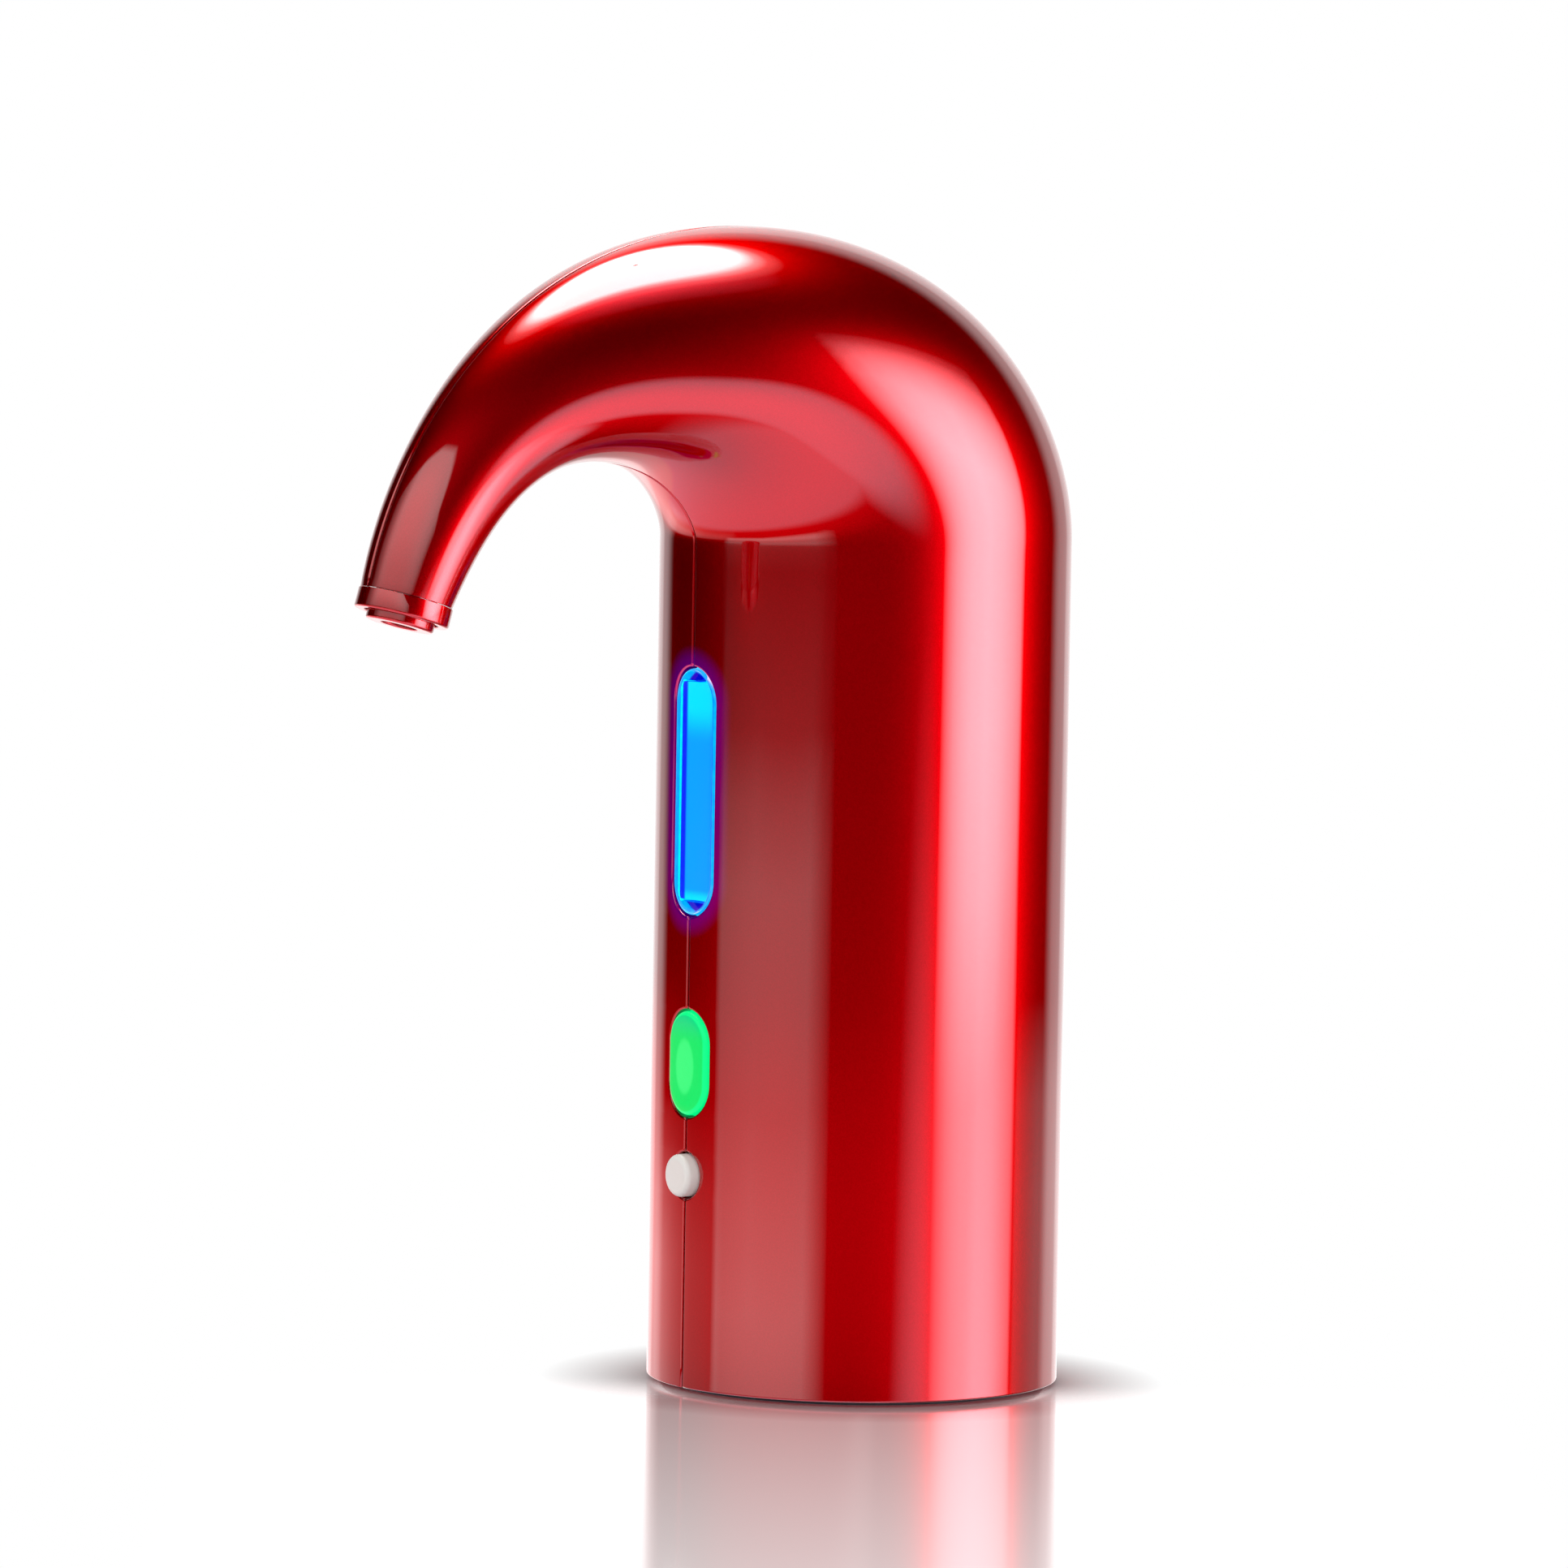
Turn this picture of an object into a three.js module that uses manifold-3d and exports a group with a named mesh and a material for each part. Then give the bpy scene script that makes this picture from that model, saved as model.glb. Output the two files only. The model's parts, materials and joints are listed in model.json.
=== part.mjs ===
// An electric wine decanter that stands on the mouth of a bottle: a round body with a curved spout.
// Millimetres, +Z up, the spout towards -Y, the origin on the bottle's axis at the standing surface.
// An air pump presses air into the bottle, and the wine rises through the aerator to the spout.
import * as THREE from "three";
import { mergeVertices } from "three/addons/utils/BufferGeometryUtils.js";
import Module from "manifold-3d";

const wasm = await Module();
wasm.setup();

// Clearances
const fitGap = 0.3; // between pieces that touch or slide
const seamGap = 0.3; // parting line between the two shells
const overrun = 3; // how far a cutting body runs past what it cuts

// Housing outline, seen from the side
const wall = 2;
const floorGap = 0.7; // the shells end above the surface, and the foot ring stands lower
const shoulderHeight = 127.5; // the plain cylinder ends here
const crownRise = 46.8; // top of the bend above the shoulder
const crownReach = 24; // top of the bend in front of the axis
const archRise = 12; // underside of the bend above the shoulder
const archReach = 50.4;
const tipReach = 82.4; // centre of the spout's open end
const tipDrop = 10.4;
const tipTilt = THREE.MathUtils.degToRad(16);
const outerFlare = THREE.MathUtils.degToRad(12.1);
const innerFlare = THREE.MathUtils.degToRad(25.9);
const spoutEndRadius = 6.9;
const backHandle = 19.9; // handles of the outer line, from the body's back to the spout's end
const crownBackHandle = 37.5;
const crownFrontHandle = 34.9;
const tipOuterHandle = 27.6;
const throatHandle = 2.4; // handles of the inner line, from the body's front to the spout's end
const archBackHandle = 14.8;
const archFrontHandle = 7.9;
const tipInnerHandle = 20.8;

// Spout end
const ringRadius = 7.1;
const ringLength = 3;
const ringWeb = 0.9;
const spigotLength = 5;
const nozzleRadius = 5.1;
const nozzleProud = 1.2;
const nozzleGap = 0.45;
const nozzleBore = 2.7;
const nozzleBoreDepth = 2.4;

// Openings in the front of the housing, and what shows in them
const windowWidth = 10.9;
const windowHeight = 37.4;
const windowGap = 13.8; // between the main button and the window
const lensLip = 1.2;
const lensBackDepth = 1.7;
const lensInset = 0.15;
const lensWall = 1.4; // in front of the light guide, which stands in a pocket of the cover
const mainHoleWidth = 10.4;
const mainHoleHeight = 16.2;
const buttonGap = 5.2; // between the two buttons
const mainProud = 0.35;
const powerHoleRadius = 3.5;
const powerCentreHeight = 32.7;
const powerProud = 1.8;
const powerEdge = 0.6;
const buttonLip = 1.1;
const buttonLipThickness = 1;
const buttonStemRadius = 1.6;
const buttonStem = 1.1;

// Light behind the window
const lightSideInset = 1.25; // the light guide inside the window's outline
const guideEndInset = 2.45;
const ledBoardEndInset = 0.2;
const guideShoulder = 2.4; // what of the light guide stands behind the cover
const ledBoardThickness = 1;
const ledSide = 1.6;
const ledHeight = 0.7;
const ledPitch = 7;
const ledCount = 5;
const bracketWall = 1.2;

// Control board and its two switches
const boardWidth = 24;
const boardThickness = 1.2;
const boardMargin = 5.2; // below the lower switch
const boardHeadroom = 7.6; // between the board and the window's bracket
const switchSide = 6;
const switchHeight = 3.1;
const plungerRadius = 1.6;
const plungerProud = 1.2;
const plungerDepth = 1; // what of the plunger is inside the switch
const chipSide = 5;
const chipHeight = 1;
const boardScrewSpacing = 17;

// Screws
const baseScrewRadius = 1.1;
const baseScrewLength = 8;
const baseHeadRadius = 1.8;
const baseHeadHeight = 1.1;
const boardScrewRadius = 0.8;
const boardScrewLength = 5;
const boardHeadRadius = 1.5;
const boardHeadHeight = 0.9;
const driveShare = 0.5; // drive recess, as a share of the head

// Base
const footHeight = 1.5;
const footWidth = 6.6;
const basePlateThickness = 2.2;
const bossRadius = 3.2;
const bossSink = 0.6; // how far a boss runs into the wall
const bossHeight = 9;
const bossClearance = 1; // between the bosses and the socket's flange
const bossAngle = THREE.MathUtils.degToRad(40);

// Bottle socket, for the mouth of a wine bottle
const neckRadius = 14.7;
const neckDepth = 31;
const sealLipReach = 0.8;
const sealLipHeight = 1.2;
const sealLipCount = 3;
const sleeveWall = 2.2;
const sleeveLipThickness = 1;
const mouthSealBore = 9.8;
const mouthSealThickness = 1.6;
const socketWall = 1.5;
const ceilingThickness = 2;
const socketFlange = 3.2;
const socketFlangeThickness = 1.6;

// Hoses and the fittings that they are pushed over
const wineTubeRadius = 3;
const wineTubeBore = 2;
const airHoseRadius = 2.5;
const airHoseBore = 1.5;
const barbWall = 0.6;
const wineBarb = 6;
const airBarb = 4.5;
const fittingStem = 2.5;
const inletFlange = 4.2;
const airFlange = 2.8;
const flangeThickness = 1.2;
const suctionBarb = 5;
const airPortReach = 7.6;

// Chassis
const deckThickness = 2;
const cupHeight = 8;
const cupWall = 1.2;
const spineWidth = 13;
const spineThickness = 1.5;
const postWidth = 5;
const postHeight = 7;

// Battery: one cell of the common 18 by 65 size
const cellRadius = 9.2;
const cellLength = 65.2;
const cellClearance = 2.8; // between the cell and the wine tube beside it
const cellY = 7;
const tabRadius = 2.6;
const tabHeight = 1;
const cellEdge = 0.8;

// Air pump
const pumpRadius = 10.5;
const pumpClearance = 2; // between the pump and the wine tube beside it
const pumpY = 6;
const motorLength = 30;
const bearingRadius = 3;
const bearingHeight = 1;
const shaftRadius = 1;
const shaftDepth = 12;
const housingLength = 12;
const housingWall = 2;
const eccentricRadius = 3.2;
const eccentricThrow = 1.1;
const eccentricHeight = 4;
const diaphragmThickness = 1;
const chamberRadius = 2.3;
const chamberReach = 5;
const chamberDepth = 2;
const chamberCount = 3;
const capThickness = 5;

// Check valve on the pump's outlet
const checkRadius = 3.8;
const checkLength = 11;
const checkBallRadius = 1.6;
const checkLift = 1.4;

// Vent valve that lets the bottle's pressure go
const ventWidth = 11;
const ventDepth = 9;
const ventHeight = 18;
const ventMargin = 3.2; // between the valve's back corners and the shells
const plungeRadius = 2;
const plungeLength = 6;
const plungeTravel = 1.2;
const ventCapThickness = 1;

// Upper bridge that holds the battery and the pump in line
const bridgeThickness = 2;
const bridgeFront = 3.5;

// Aerator in the wine line
const aeratorRadius = 5;
const waistRadius = 3.6;
const aeratorLength = 24;
const aeratorBottom = 72;
const waistShare = 0.4;
const airInletRadius = 0.6;
const tubeBendShares = [0.4, 0.54, 0.66, 0.78, 0.9]; // places along the bend that the upper tube passes

// Charging socket at the back
const portWidth = 8.9;
const portHeight = 3.2;
const portDepth = 7.3;
const portWall = 0.4;
const portCentreHeight = 20;
const portInset = 0.5;
const chargeBoardWidth = 13;
const chargeBoardThickness = 1;

// Leads
const leadRadius = 0.9;

// Counts of facets
const aroundCount = 36;
const bendSteps = 12; // for each of the two pieces of the bend
const turnCount = 24;
const smallTurnCount = 12;
const tubeSides = 8;

// Materials
const finish = (color, roughness, metalness) =>
  new THREE.MeshStandardMaterial({ color, roughness, metalness });
const candyRed = finish(0xb00014, 0.15, 0.6);
const clearPlastic = finish(0x7fdcff, 0.05, 0);
const bluePlastic = finish(0x0a9cff, 0.3, 0);
const greenPlastic = finish(0x14e860, 0.35, 0);
const whitePlastic = finish(0xdcd6cc, 0.4, 0);
const blackPlastic = finish(0x1c1c1f, 0.55, 0);
const greyPlastic = finish(0x8d9095, 0.5, 0);
const blackRubber = finish(0x151515, 0.8, 0);
const silicone = finish(0xd8dcdd, 0.45, 0);
const boardGreen = finish(0x0f5a34, 0.5, 0.1);
const steel = finish(0xb4b6b8, 0.3, 0.9);
const cellWrap = finish(0x2864a8, 0.4, 0);
const leadRed = finish(0xa81818, 0.5, 0);

// Places worked out from the sizes
const mainCentreHeight = powerCentreHeight + powerHoleRadius + buttonGap + mainHoleHeight / 2;
const windowCentreHeight = mainCentreHeight + (mainHoleHeight + windowHeight) / 2 + windowGap;
const sleeveBore = neckRadius + fitGap;
const sleeveRadius = sleeveBore + sleeveWall;
const socketBore = sleeveRadius + fitGap;
const socketRadius = socketBore + socketWall;
const cellX = -wineTubeRadius - cellClearance - cellRadius;
const pumpX = wineTubeRadius + pumpClearance + pumpRadius;
const cupReach = (radius, x, y) => Math.hypot(x, y) + radius + cupWall + 2 * fitGap;
const baseReach = socketRadius + socketFlange + bossClearance + 2 * bossRadius - bossSink;
const boreRadius = Math.max( // as wide as the widest of what the shells hold
  baseReach,
  cupReach(cellRadius, cellX, cellY),
  cupReach(pumpRadius, pumpX, pumpY),
);
const bodyRadius = boreRadius + wall;
const seatRadius = boreRadius - fitGap; // what stands against the inside of the shells
const basePlateBottom = footHeight + fitGap;
const basePlateTop = basePlateBottom + basePlateThickness;
const sleeveBottom = basePlateBottom - fitGap - sleeveLipThickness;
const ceilingBottom = sleeveBottom + neckDepth + fitGap;
const ceilingTop = ceilingBottom + ceilingThickness;
const socketFlangeBottom = basePlateTop + fitGap;
const bossReach = boreRadius - bossRadius + bossSink;
const deckBottom = ceilingTop + fitGap;
const deckTop = deckBottom + deckThickness;
const insideFront = (halfWidth) => -Math.sqrt(boreRadius ** 2 - halfWidth ** 2);
const mainLipFront = insideFront(mainHoleWidth / 2 + buttonLip) + fitGap;
const mainStemEnd = mainLipFront + buttonLipThickness + buttonStem;
const switchFront = mainStemEnd + fitGap + plungerProud;
const boardFront = switchFront + switchHeight + fitGap;
const boardBack = boardFront + boardThickness;
const lightWidth = windowWidth - 2 * lightSideInset;
const guideHeight = windowHeight - 2 * guideEndInset;
const ledBoardHeight = windowHeight - 2 * ledBoardEndInset;
const boardBottom = powerCentreHeight - switchSide / 2 - boardMargin;
const bracketHalf = ledBoardHeight / 2 + fitGap + bracketWall;
const boardTop = windowCentreHeight - bracketHalf - boardHeadroom;
const spineFront = boardBack + fitGap;
const spineBack = spineFront + spineThickness;
const spineTop = windowCentreHeight + ledBoardHeight / 2;
const lensBack = -seatRadius + lensBackDepth;
const lensRadius = bodyRadius - lensInset;
const pocketHalf = lightWidth / 2 + fitGap;
const pocketFront = lensWall - Math.sqrt(lensRadius ** 2 - pocketHalf ** 2);
const guideFront = pocketFront + fitGap;
const guideBack = lensBack + fitGap + guideShoulder;
const bracketFront = lensBack + fitGap;
const ledBoardFront = guideBack + fitGap + ledHeight;
const ledBoardBack = ledBoardFront + ledBoardThickness;
const aeratorY = spineBack + fitGap + aeratorRadius;
const aeratorTop = aeratorBottom + aeratorLength;
const cellBottom = deckTop + fitGap;
const cellTop = cellBottom + cellLength;
const motorBottom = deckTop + fitGap;
const motorTop = motorBottom + motorLength;
const housingBottom = motorTop + bearingHeight + fitGap;
const housingTop = housingBottom + housingLength;
const diaphragmBottom = housingTop + fitGap;
const capBottom = diaphragmBottom + diaphragmThickness + fitGap;
const capTop = capBottom + capThickness;
const bridgeBottom = capBottom + (capThickness - bridgeThickness) / 2;
const ventBottom = bridgeBottom + (bridgeThickness - ventHeight) / 2;
const ventTop = ventBottom + ventHeight;
const ventY = Math.sqrt(seatRadius ** 2 - (ventWidth / 2) ** 2) - ventMargin - ventDepth / 2;
const wineBarbRadius = wineTubeBore - fitGap;
const wineBarbBore = wineBarbRadius - barbWall;
const airBarbRadius = airHoseBore - fitGap;
const airBarbBore = airBarbRadius - barbWall;

// Solids: closed geometries as manifold solids, and back
function solid(geometry) {
  const bare = geometry.clone();
  bare.deleteAttribute("normal");
  bare.deleteAttribute("uv");
  const merged = mergeVertices(bare);
  const triVerts = [];
  const index = merged.index.array;
  for (let i = 0; i < index.length; i += 3) {
    const [a, b, c] = index.subarray(i, i + 3);
    if (a !== b && b !== c && c !== a) triVerts.push(a, b, c);
  }
  const vertProperties = merged.attributes.position.array;
  const make = (faces) =>
    new wasm.Manifold(new wasm.Mesh({ numProp: 3, vertProperties, triVerts: new Uint32Array(faces) }));
  const made = make(triVerts);
  return made.volume() > 0 ? made : make(triVerts.reverse());
}

function geometryOf(manifold) {
  const mesh = manifold.getMesh();
  const geometry = new THREE.BufferGeometry();
  geometry.setAttribute("position", new THREE.BufferAttribute(mesh.vertProperties, 3));
  geometry.setIndex(new THREE.BufferAttribute(mesh.triVerts, 1));
  const flat = geometry.toNonIndexed();
  flat.computeVertexNormals();
  return flat;
}

const join = (first, ...others) => others.reduce((whole, other) => whole.add(other), first);
const cut = (first, ...others) => others.reduce((whole, other) => whole.subtract(other), first);

// Turned piece about Z, from [radius, height] corners; a profile off the axis closes on itself
function turned(corners, segments = turnCount) {
  const points = corners.map(([radius, height]) => new THREE.Vector2(radius, height));
  if (corners[0][0] > 0) points.push(points[0].clone());
  return solid(new THREE.LatheGeometry(points, segments).rotateX(Math.PI / 2));
}

const rod = (radius, bottom, top, segments) =>
  turned([[0, bottom], [radius, bottom], [radius, top], [0, top]], segments);

const pipe = (radius, bore, bottom, top, segments) =>
  turned([[bore, bottom], [radius, bottom], [radius, top], [bore, top]], segments);

// Rod along Y, from front to back
const rodAlongY = (radius, front, back, segments) =>
  rod(radius, front, back, segments).rotate([-90, 0, 0]);

// Box from its two corners
function block([x0, y0, z0], [x1, y1, z1]) {
  const box = new THREE.BoxGeometry(x1 - x0, y1 - y0, z1 - z0);
  return solid(box.translate((x0 + x1) / 2, (y0 + y1) / 2, (z0 + z1) / 2));
}

// Upright outline with round ends
function stadium(width, height) {
  const straight = (height - width) / 2;
  const shape = new THREE.Shape();
  shape.absarc(0, straight, width / 2, 0, Math.PI);
  shape.absarc(0, -straight, width / 2, Math.PI, 2 * Math.PI);
  shape.closePath();
  return shape;
}

// Outline in the XZ plane, run along Y from front to back
function prismAlongY(shape, front, back) {
  const options = { depth: back - front, bevelEnabled: false, curveSegments: smallTurnCount / 2 };
  const prism = new THREE.ExtrudeGeometry(shape, options);
  return solid(prism.rotateX(Math.PI / 2).translate(0, back, 0));
}

// Hose or lead along a smooth route; a bore of zero makes it solid
function hose(route, radius, bore, steps, sides = tubeSides) {
  const shape = new THREE.Shape().absarc(0, 0, radius, 0, 2 * Math.PI);
  if (bore > 0) shape.holes.push(new THREE.Path().absarc(0, 0, bore, 0, 2 * Math.PI, true));
  const extrudePath = new THREE.CatmullRomCurve3(route, false, "centripetal");
  return solid(new THREE.ExtrudeGeometry(shape, { steps, extrudePath, curveSegments: sides / 2 }));
}

// Straight stretch of a route, so that its end stands square on what it meets
const straightRun = (start, along) =>
  [0, 0.5, 1].map((share) => start.clone().addScaledVector(along, share));

function piece(name, manifold, material, x = 0, y = 0, z = 0) {
  const mesh = new THREE.Mesh(geometryOf(manifold), material);
  mesh.name = name;
  mesh.position.set(x, y, z);
  return mesh;
}

// Housing: round sections spanned between an outer and an inner line in the YZ plane
const sideView = (y, z) => new THREE.Vector2(y, z);
const tipFlow = sideView(-Math.sin(tipTilt), -Math.cos(tipTilt)); // the way the wine leaves
const tipAcross = sideView(-Math.cos(tipTilt), Math.sin(tipTilt));
const tipFace = sideView(-tipReach, shoulderHeight - tipDrop);
const tipCentre = tipFace.clone().addScaledVector(tipFlow, -ringLength);

function spoutLines() {
  const outward = (angle) => sideView(Math.sin(angle), Math.cos(angle));
  const crown = sideView(-crownReach, shoulderHeight + crownRise);
  const arch = sideView(-archReach, shoulderHeight + archRise);
  const back = sideView(bodyRadius, shoulderHeight);
  const front = sideView(-bodyRadius, shoulderHeight);
  const tipOuter = tipCentre.clone().addScaledVector(tipAcross, spoutEndRadius);
  const tipInner = tipCentre.clone().addScaledVector(tipAcross, -spoutEndRadius);
  const curve = (start, startHandle, endHandle, end) =>
    new THREE.CubicBezierCurve(start, start.clone().add(startHandle), end.clone().add(endHandle), end);
  const outer = [
    curve(back, sideView(0, backHandle), sideView(crownBackHandle, 0), crown),
    curve(crown, sideView(-crownFrontHandle, 0), outward(outerFlare).multiplyScalar(tipOuterHandle), tipOuter),
  ];
  const inner = [
    curve(front, sideView(0, throatHandle), sideView(archBackHandle, 0), arch),
    curve(arch, sideView(-archFrontHandle, 0), outward(innerFlare).multiplyScalar(tipInnerHandle), tipInner),
  ];
  return { outer, inner };
}

function bendSections() {
  const { outer, inner } = spoutLines();
  const sections = [];
  for (let pieceIndex = 0; pieceIndex < outer.length; pieceIndex++) {
    for (let step = pieceIndex ? 1 : 0; step <= bendSteps; step++) {
      const high = outer[pieceIndex].getPoint(step / bendSteps);
      const low = inner[pieceIndex].getPoint(step / bendSteps);
      const across = high.clone().sub(low);
      const centre = high.clone().add(low).divideScalar(2);
      sections.push({ centre, radius: across.length() / 2, across: across.normalize() });
    }
  }
  return sections;
}

const bend = bendSections();

function loft(sections) {
  const positions = [];
  const index = [];
  for (const { centre, radius, across } of sections) {
    for (let i = 0; i < aroundCount; i++) {
      const angle = (i * 2 * Math.PI) / aroundCount;
      const point = centre.clone().addScaledVector(across, radius * Math.cos(angle));
      positions.push(radius * Math.sin(angle), point.x, point.y);
    }
  }
  const ends = [sections[0], sections[sections.length - 1]];
  for (const { centre } of ends) positions.push(0, centre.x, centre.y);
  const lastRing = (sections.length - 1) * aroundCount;
  const endCentre = lastRing + aroundCount;
  for (let i = 0; i < aroundCount; i++) {
    const next = (i + 1) % aroundCount;
    for (let ring = 0; ring < lastRing; ring += aroundCount) {
      const above = ring + aroundCount;
      index.push(ring + i, ring + next, above + i, ring + next, above + next, above + i);
    }
    index.push(endCentre, next, i);
    index.push(endCentre + 1, lastRing + i, lastRing + next);
  }
  const geometry = new THREE.BufferGeometry();
  geometry.setAttribute("position", new THREE.Float32BufferAttribute(positions, 3));
  geometry.setIndex(index);
  return solid(geometry);
}

function shellBody() {
  const straightUp = sideView(1, 0);
  const foot = { centre: sideView(0, floorGap), radius: bodyRadius, across: straightUp };
  const outside = loft([foot, ...bend]);
  const hollow = bend.map(({ centre, radius, across }) => ({ centre, across, radius: radius - wall }));
  const below = { centre: sideView(0, floorGap - overrun), radius: boreRadius, across: straightUp };
  const last = hollow[hollow.length - 1];
  const beyond = { ...last, centre: last.centre.clone().addScaledVector(tipFlow, overrun) };
  return cut(outside, loft([below, ...hollow, beyond]));
}

const portHole = () => {
  const hole = stadium(portHeight + 2 * fitGap, portWidth + 2 * fitGap);
  return prismAlongY(hole, boreRadius - overrun, bodyRadius + overrun).rotate([0, 90, 0]);
};

function shellOpenings() {
  const front = -bodyRadius - overrun;
  const back = -boreRadius + overrun;
  return [
    prismAlongY(stadium(windowWidth, windowHeight), front, back).translate([0, 0, windowCentreHeight]),
    prismAlongY(stadium(mainHoleWidth, mainHoleHeight), front, back).translate([0, 0, mainCentreHeight]),
    rodAlongY(powerHoleRadius, front, back).translate([0, 0, powerCentreHeight]),
    portHole().translate([0, 0, portCentreHeight]),
  ];
}

// The four places of the base screws, two in each shell
const bossPlaces = [bossAngle, Math.PI - bossAngle, Math.PI + bossAngle, -bossAngle].map((angle) => ({
  x: bossReach * Math.cos(angle),
  y: bossReach * Math.sin(angle),
}));

function shellHalf(side) {
  const bottom = basePlateTop + fitGap;
  const bosses = bossPlaces
    .filter(({ x }) => x * side > 0)
    .map(({ x, y }) =>
      cut(
        rod(bossRadius, bottom, bottom + bossHeight, smallTurnCount),
        rod(baseScrewRadius + fitGap, bottom - overrun, bottom + bossHeight + overrun, smallTurnCount),
      ).translate([x, y, 0]),
    );
  const seam = (side * seamGap) / 2;
  const outerEdge = side * (bodyRadius + overrun);
  const half = block(
    [Math.min(seam, outerEdge), -tipReach - bodyRadius, floorGap - overrun],
    [Math.max(seam, outerEdge), bodyRadius + overrun, shoulderHeight + crownRise + overrun],
  );
  return cut(shellBody(), ...shellOpenings()).intersect(half).add(join(...bosses));
}

// Spout end, in its own frame: the shells end at zero and the wine leaves towards -Z
function spoutEnd() {
  const group = new THREE.Group();
  group.position.set(0, tipCentre.x, tipCentre.y);
  group.rotation.x = -tipTilt;
  const webTop = -fitGap;
  const webBottom = webTop - ringWeb;
  const counterBore = nozzleRadius + nozzleGap;
  const throat = wineTubeRadius + fitGap;
  const spigot = spoutEndRadius - wall - fitGap;
  const ring = turned([
    [counterBore, -ringLength],
    [ringRadius, -ringLength],
    [ringRadius, webTop],
    [spigot, webTop],
    [spigot, webTop + spigotLength],
    [throat, webTop + spigotLength],
    [throat, webBottom],
    [counterBore, webBottom],
  ]);
  const flangeTop = webBottom - fitGap;
  const front = -ringLength - nozzleProud;
  const nozzle = turned([
    [nozzleBore, front],
    [nozzleRadius, front],
    [nozzleRadius, flangeTop],
    [wineBarbRadius, flangeTop],
    [wineBarbRadius, flangeTop + wineBarb],
    [wineBarbBore, flangeTop + wineBarb],
    [wineBarbBore, front + nozzleBoreDepth],
    [nozzleBore, front + nozzleBoreDepth],
  ]);
  group.add(piece("spout_ring", ring, candyRed), piece("spout_nozzle", nozzle, candyRed));
  return group;
}

// Where the wine tube ends, just inside the nozzle's flange
const nozzleSeat = tipCentre.clone().addScaledVector(tipFlow, ringWeb + fitGap);

// Clear cover that follows the round of the body, with a lip behind the wall
function windowLens() {
  const depth = lensBack;
  const plug = prismAlongY(
    stadium(windowWidth - 2 * fitGap, windowHeight - 2 * fitGap),
    -bodyRadius - overrun,
    depth,
  ).intersect(rod(lensRadius, -windowHeight, windowHeight, aroundCount * 2));
  const lip = prismAlongY(
    stadium(windowWidth + 2 * lensLip, windowHeight + 2 * lensLip),
    -bodyRadius,
    depth,
  ).intersect(rod(seatRadius, -windowHeight, windowHeight, aroundCount * 2));
  const pocketTop = guideHeight / 2 + fitGap;
  const pocket = block([-pocketHalf, pocketFront, -pocketTop], [pocketHalf, depth + overrun, pocketTop]);
  return piece("window_lens", cut(plug.add(lip), pocket), clearPlastic, 0, 0, windowCentreHeight);
}

function windowLight() {
  const guide = block(
    [-lightWidth / 2, guideFront, -guideHeight / 2],
    [lightWidth / 2, guideBack, guideHeight / 2],
  );
  let board = block(
    [-lightWidth / 2, ledBoardFront, -ledBoardHeight / 2],
    [lightWidth / 2, ledBoardBack, ledBoardHeight / 2],
  );
  for (let i = 0; i < ledCount; i++) {
    const height = (i - (ledCount - 1) / 2) * ledPitch;
    board = board.add(
      block(
        [-ledSide / 2, ledBoardFront - ledHeight, height - ledSide / 2],
        [ledSide / 2, ledBoardBack, height + ledSide / 2],
      ),
    );
  }
  const inner = { x: lightWidth / 2 + fitGap, z: bracketHalf - bracketWall };
  const outer = { x: inner.x + bracketWall, z: bracketHalf };
  const bracket = cut(
    block([-outer.x, bracketFront, -outer.z], [outer.x, boardBack, outer.z]),
    block([-inner.x, bracketFront - overrun, -inner.z], [inner.x, ledBoardBack + fitGap, inner.z]),
  );
  return [
    piece("light_guide", guide, bluePlastic, 0, 0, windowCentreHeight),
    piece("led_board", board, boardGreen, 0, 0, windowCentreHeight),
    piece("window_bracket", bracket, blackPlastic, 0, 0, windowCentreHeight),
  ];
}

// Buttons: a cap in the opening, a lip behind the wall and a stem to the switch
function mainButton() {
  const cap = prismAlongY(
    stadium(mainHoleWidth - 2 * fitGap, mainHoleHeight - 2 * fitGap),
    -bodyRadius - overrun,
    mainLipFront + buttonLipThickness,
  ).intersect(rod(bodyRadius + mainProud, -mainHoleHeight, mainHoleHeight, aroundCount * 2));
  const lip = prismAlongY(
    stadium(mainHoleWidth + 2 * buttonLip, mainHoleHeight + 2 * buttonLip),
    mainLipFront,
    mainLipFront + buttonLipThickness,
  );
  const stem = rodAlongY(buttonStemRadius, mainLipFront, mainStemEnd, smallTurnCount);
  return piece("main_button", join(cap, lip, stem), greenPlastic, 0, 0, mainCentreHeight);
}

function powerButton() {
  const capRadius = powerHoleRadius - fitGap;
  const lipRadius = powerHoleRadius + buttonLip;
  const lipFront = insideFront(lipRadius) + fitGap;
  const front = -bodyRadius - powerProud;
  const button = turned(
    [
      [0, front],
      [capRadius - powerEdge, front],
      [capRadius, front + powerEdge],
      [capRadius, lipFront],
      [lipRadius, lipFront],
      [lipRadius, lipFront + buttonLipThickness],
      [buttonStemRadius, lipFront + buttonLipThickness],
      [buttonStemRadius, mainStemEnd],
      [0, mainStemEnd],
    ],
    turnCount,
  ).rotate([-90, 0, 0]);
  return piece("power_button", button, whitePlastic, 0, 0, powerCentreHeight);
}

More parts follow.
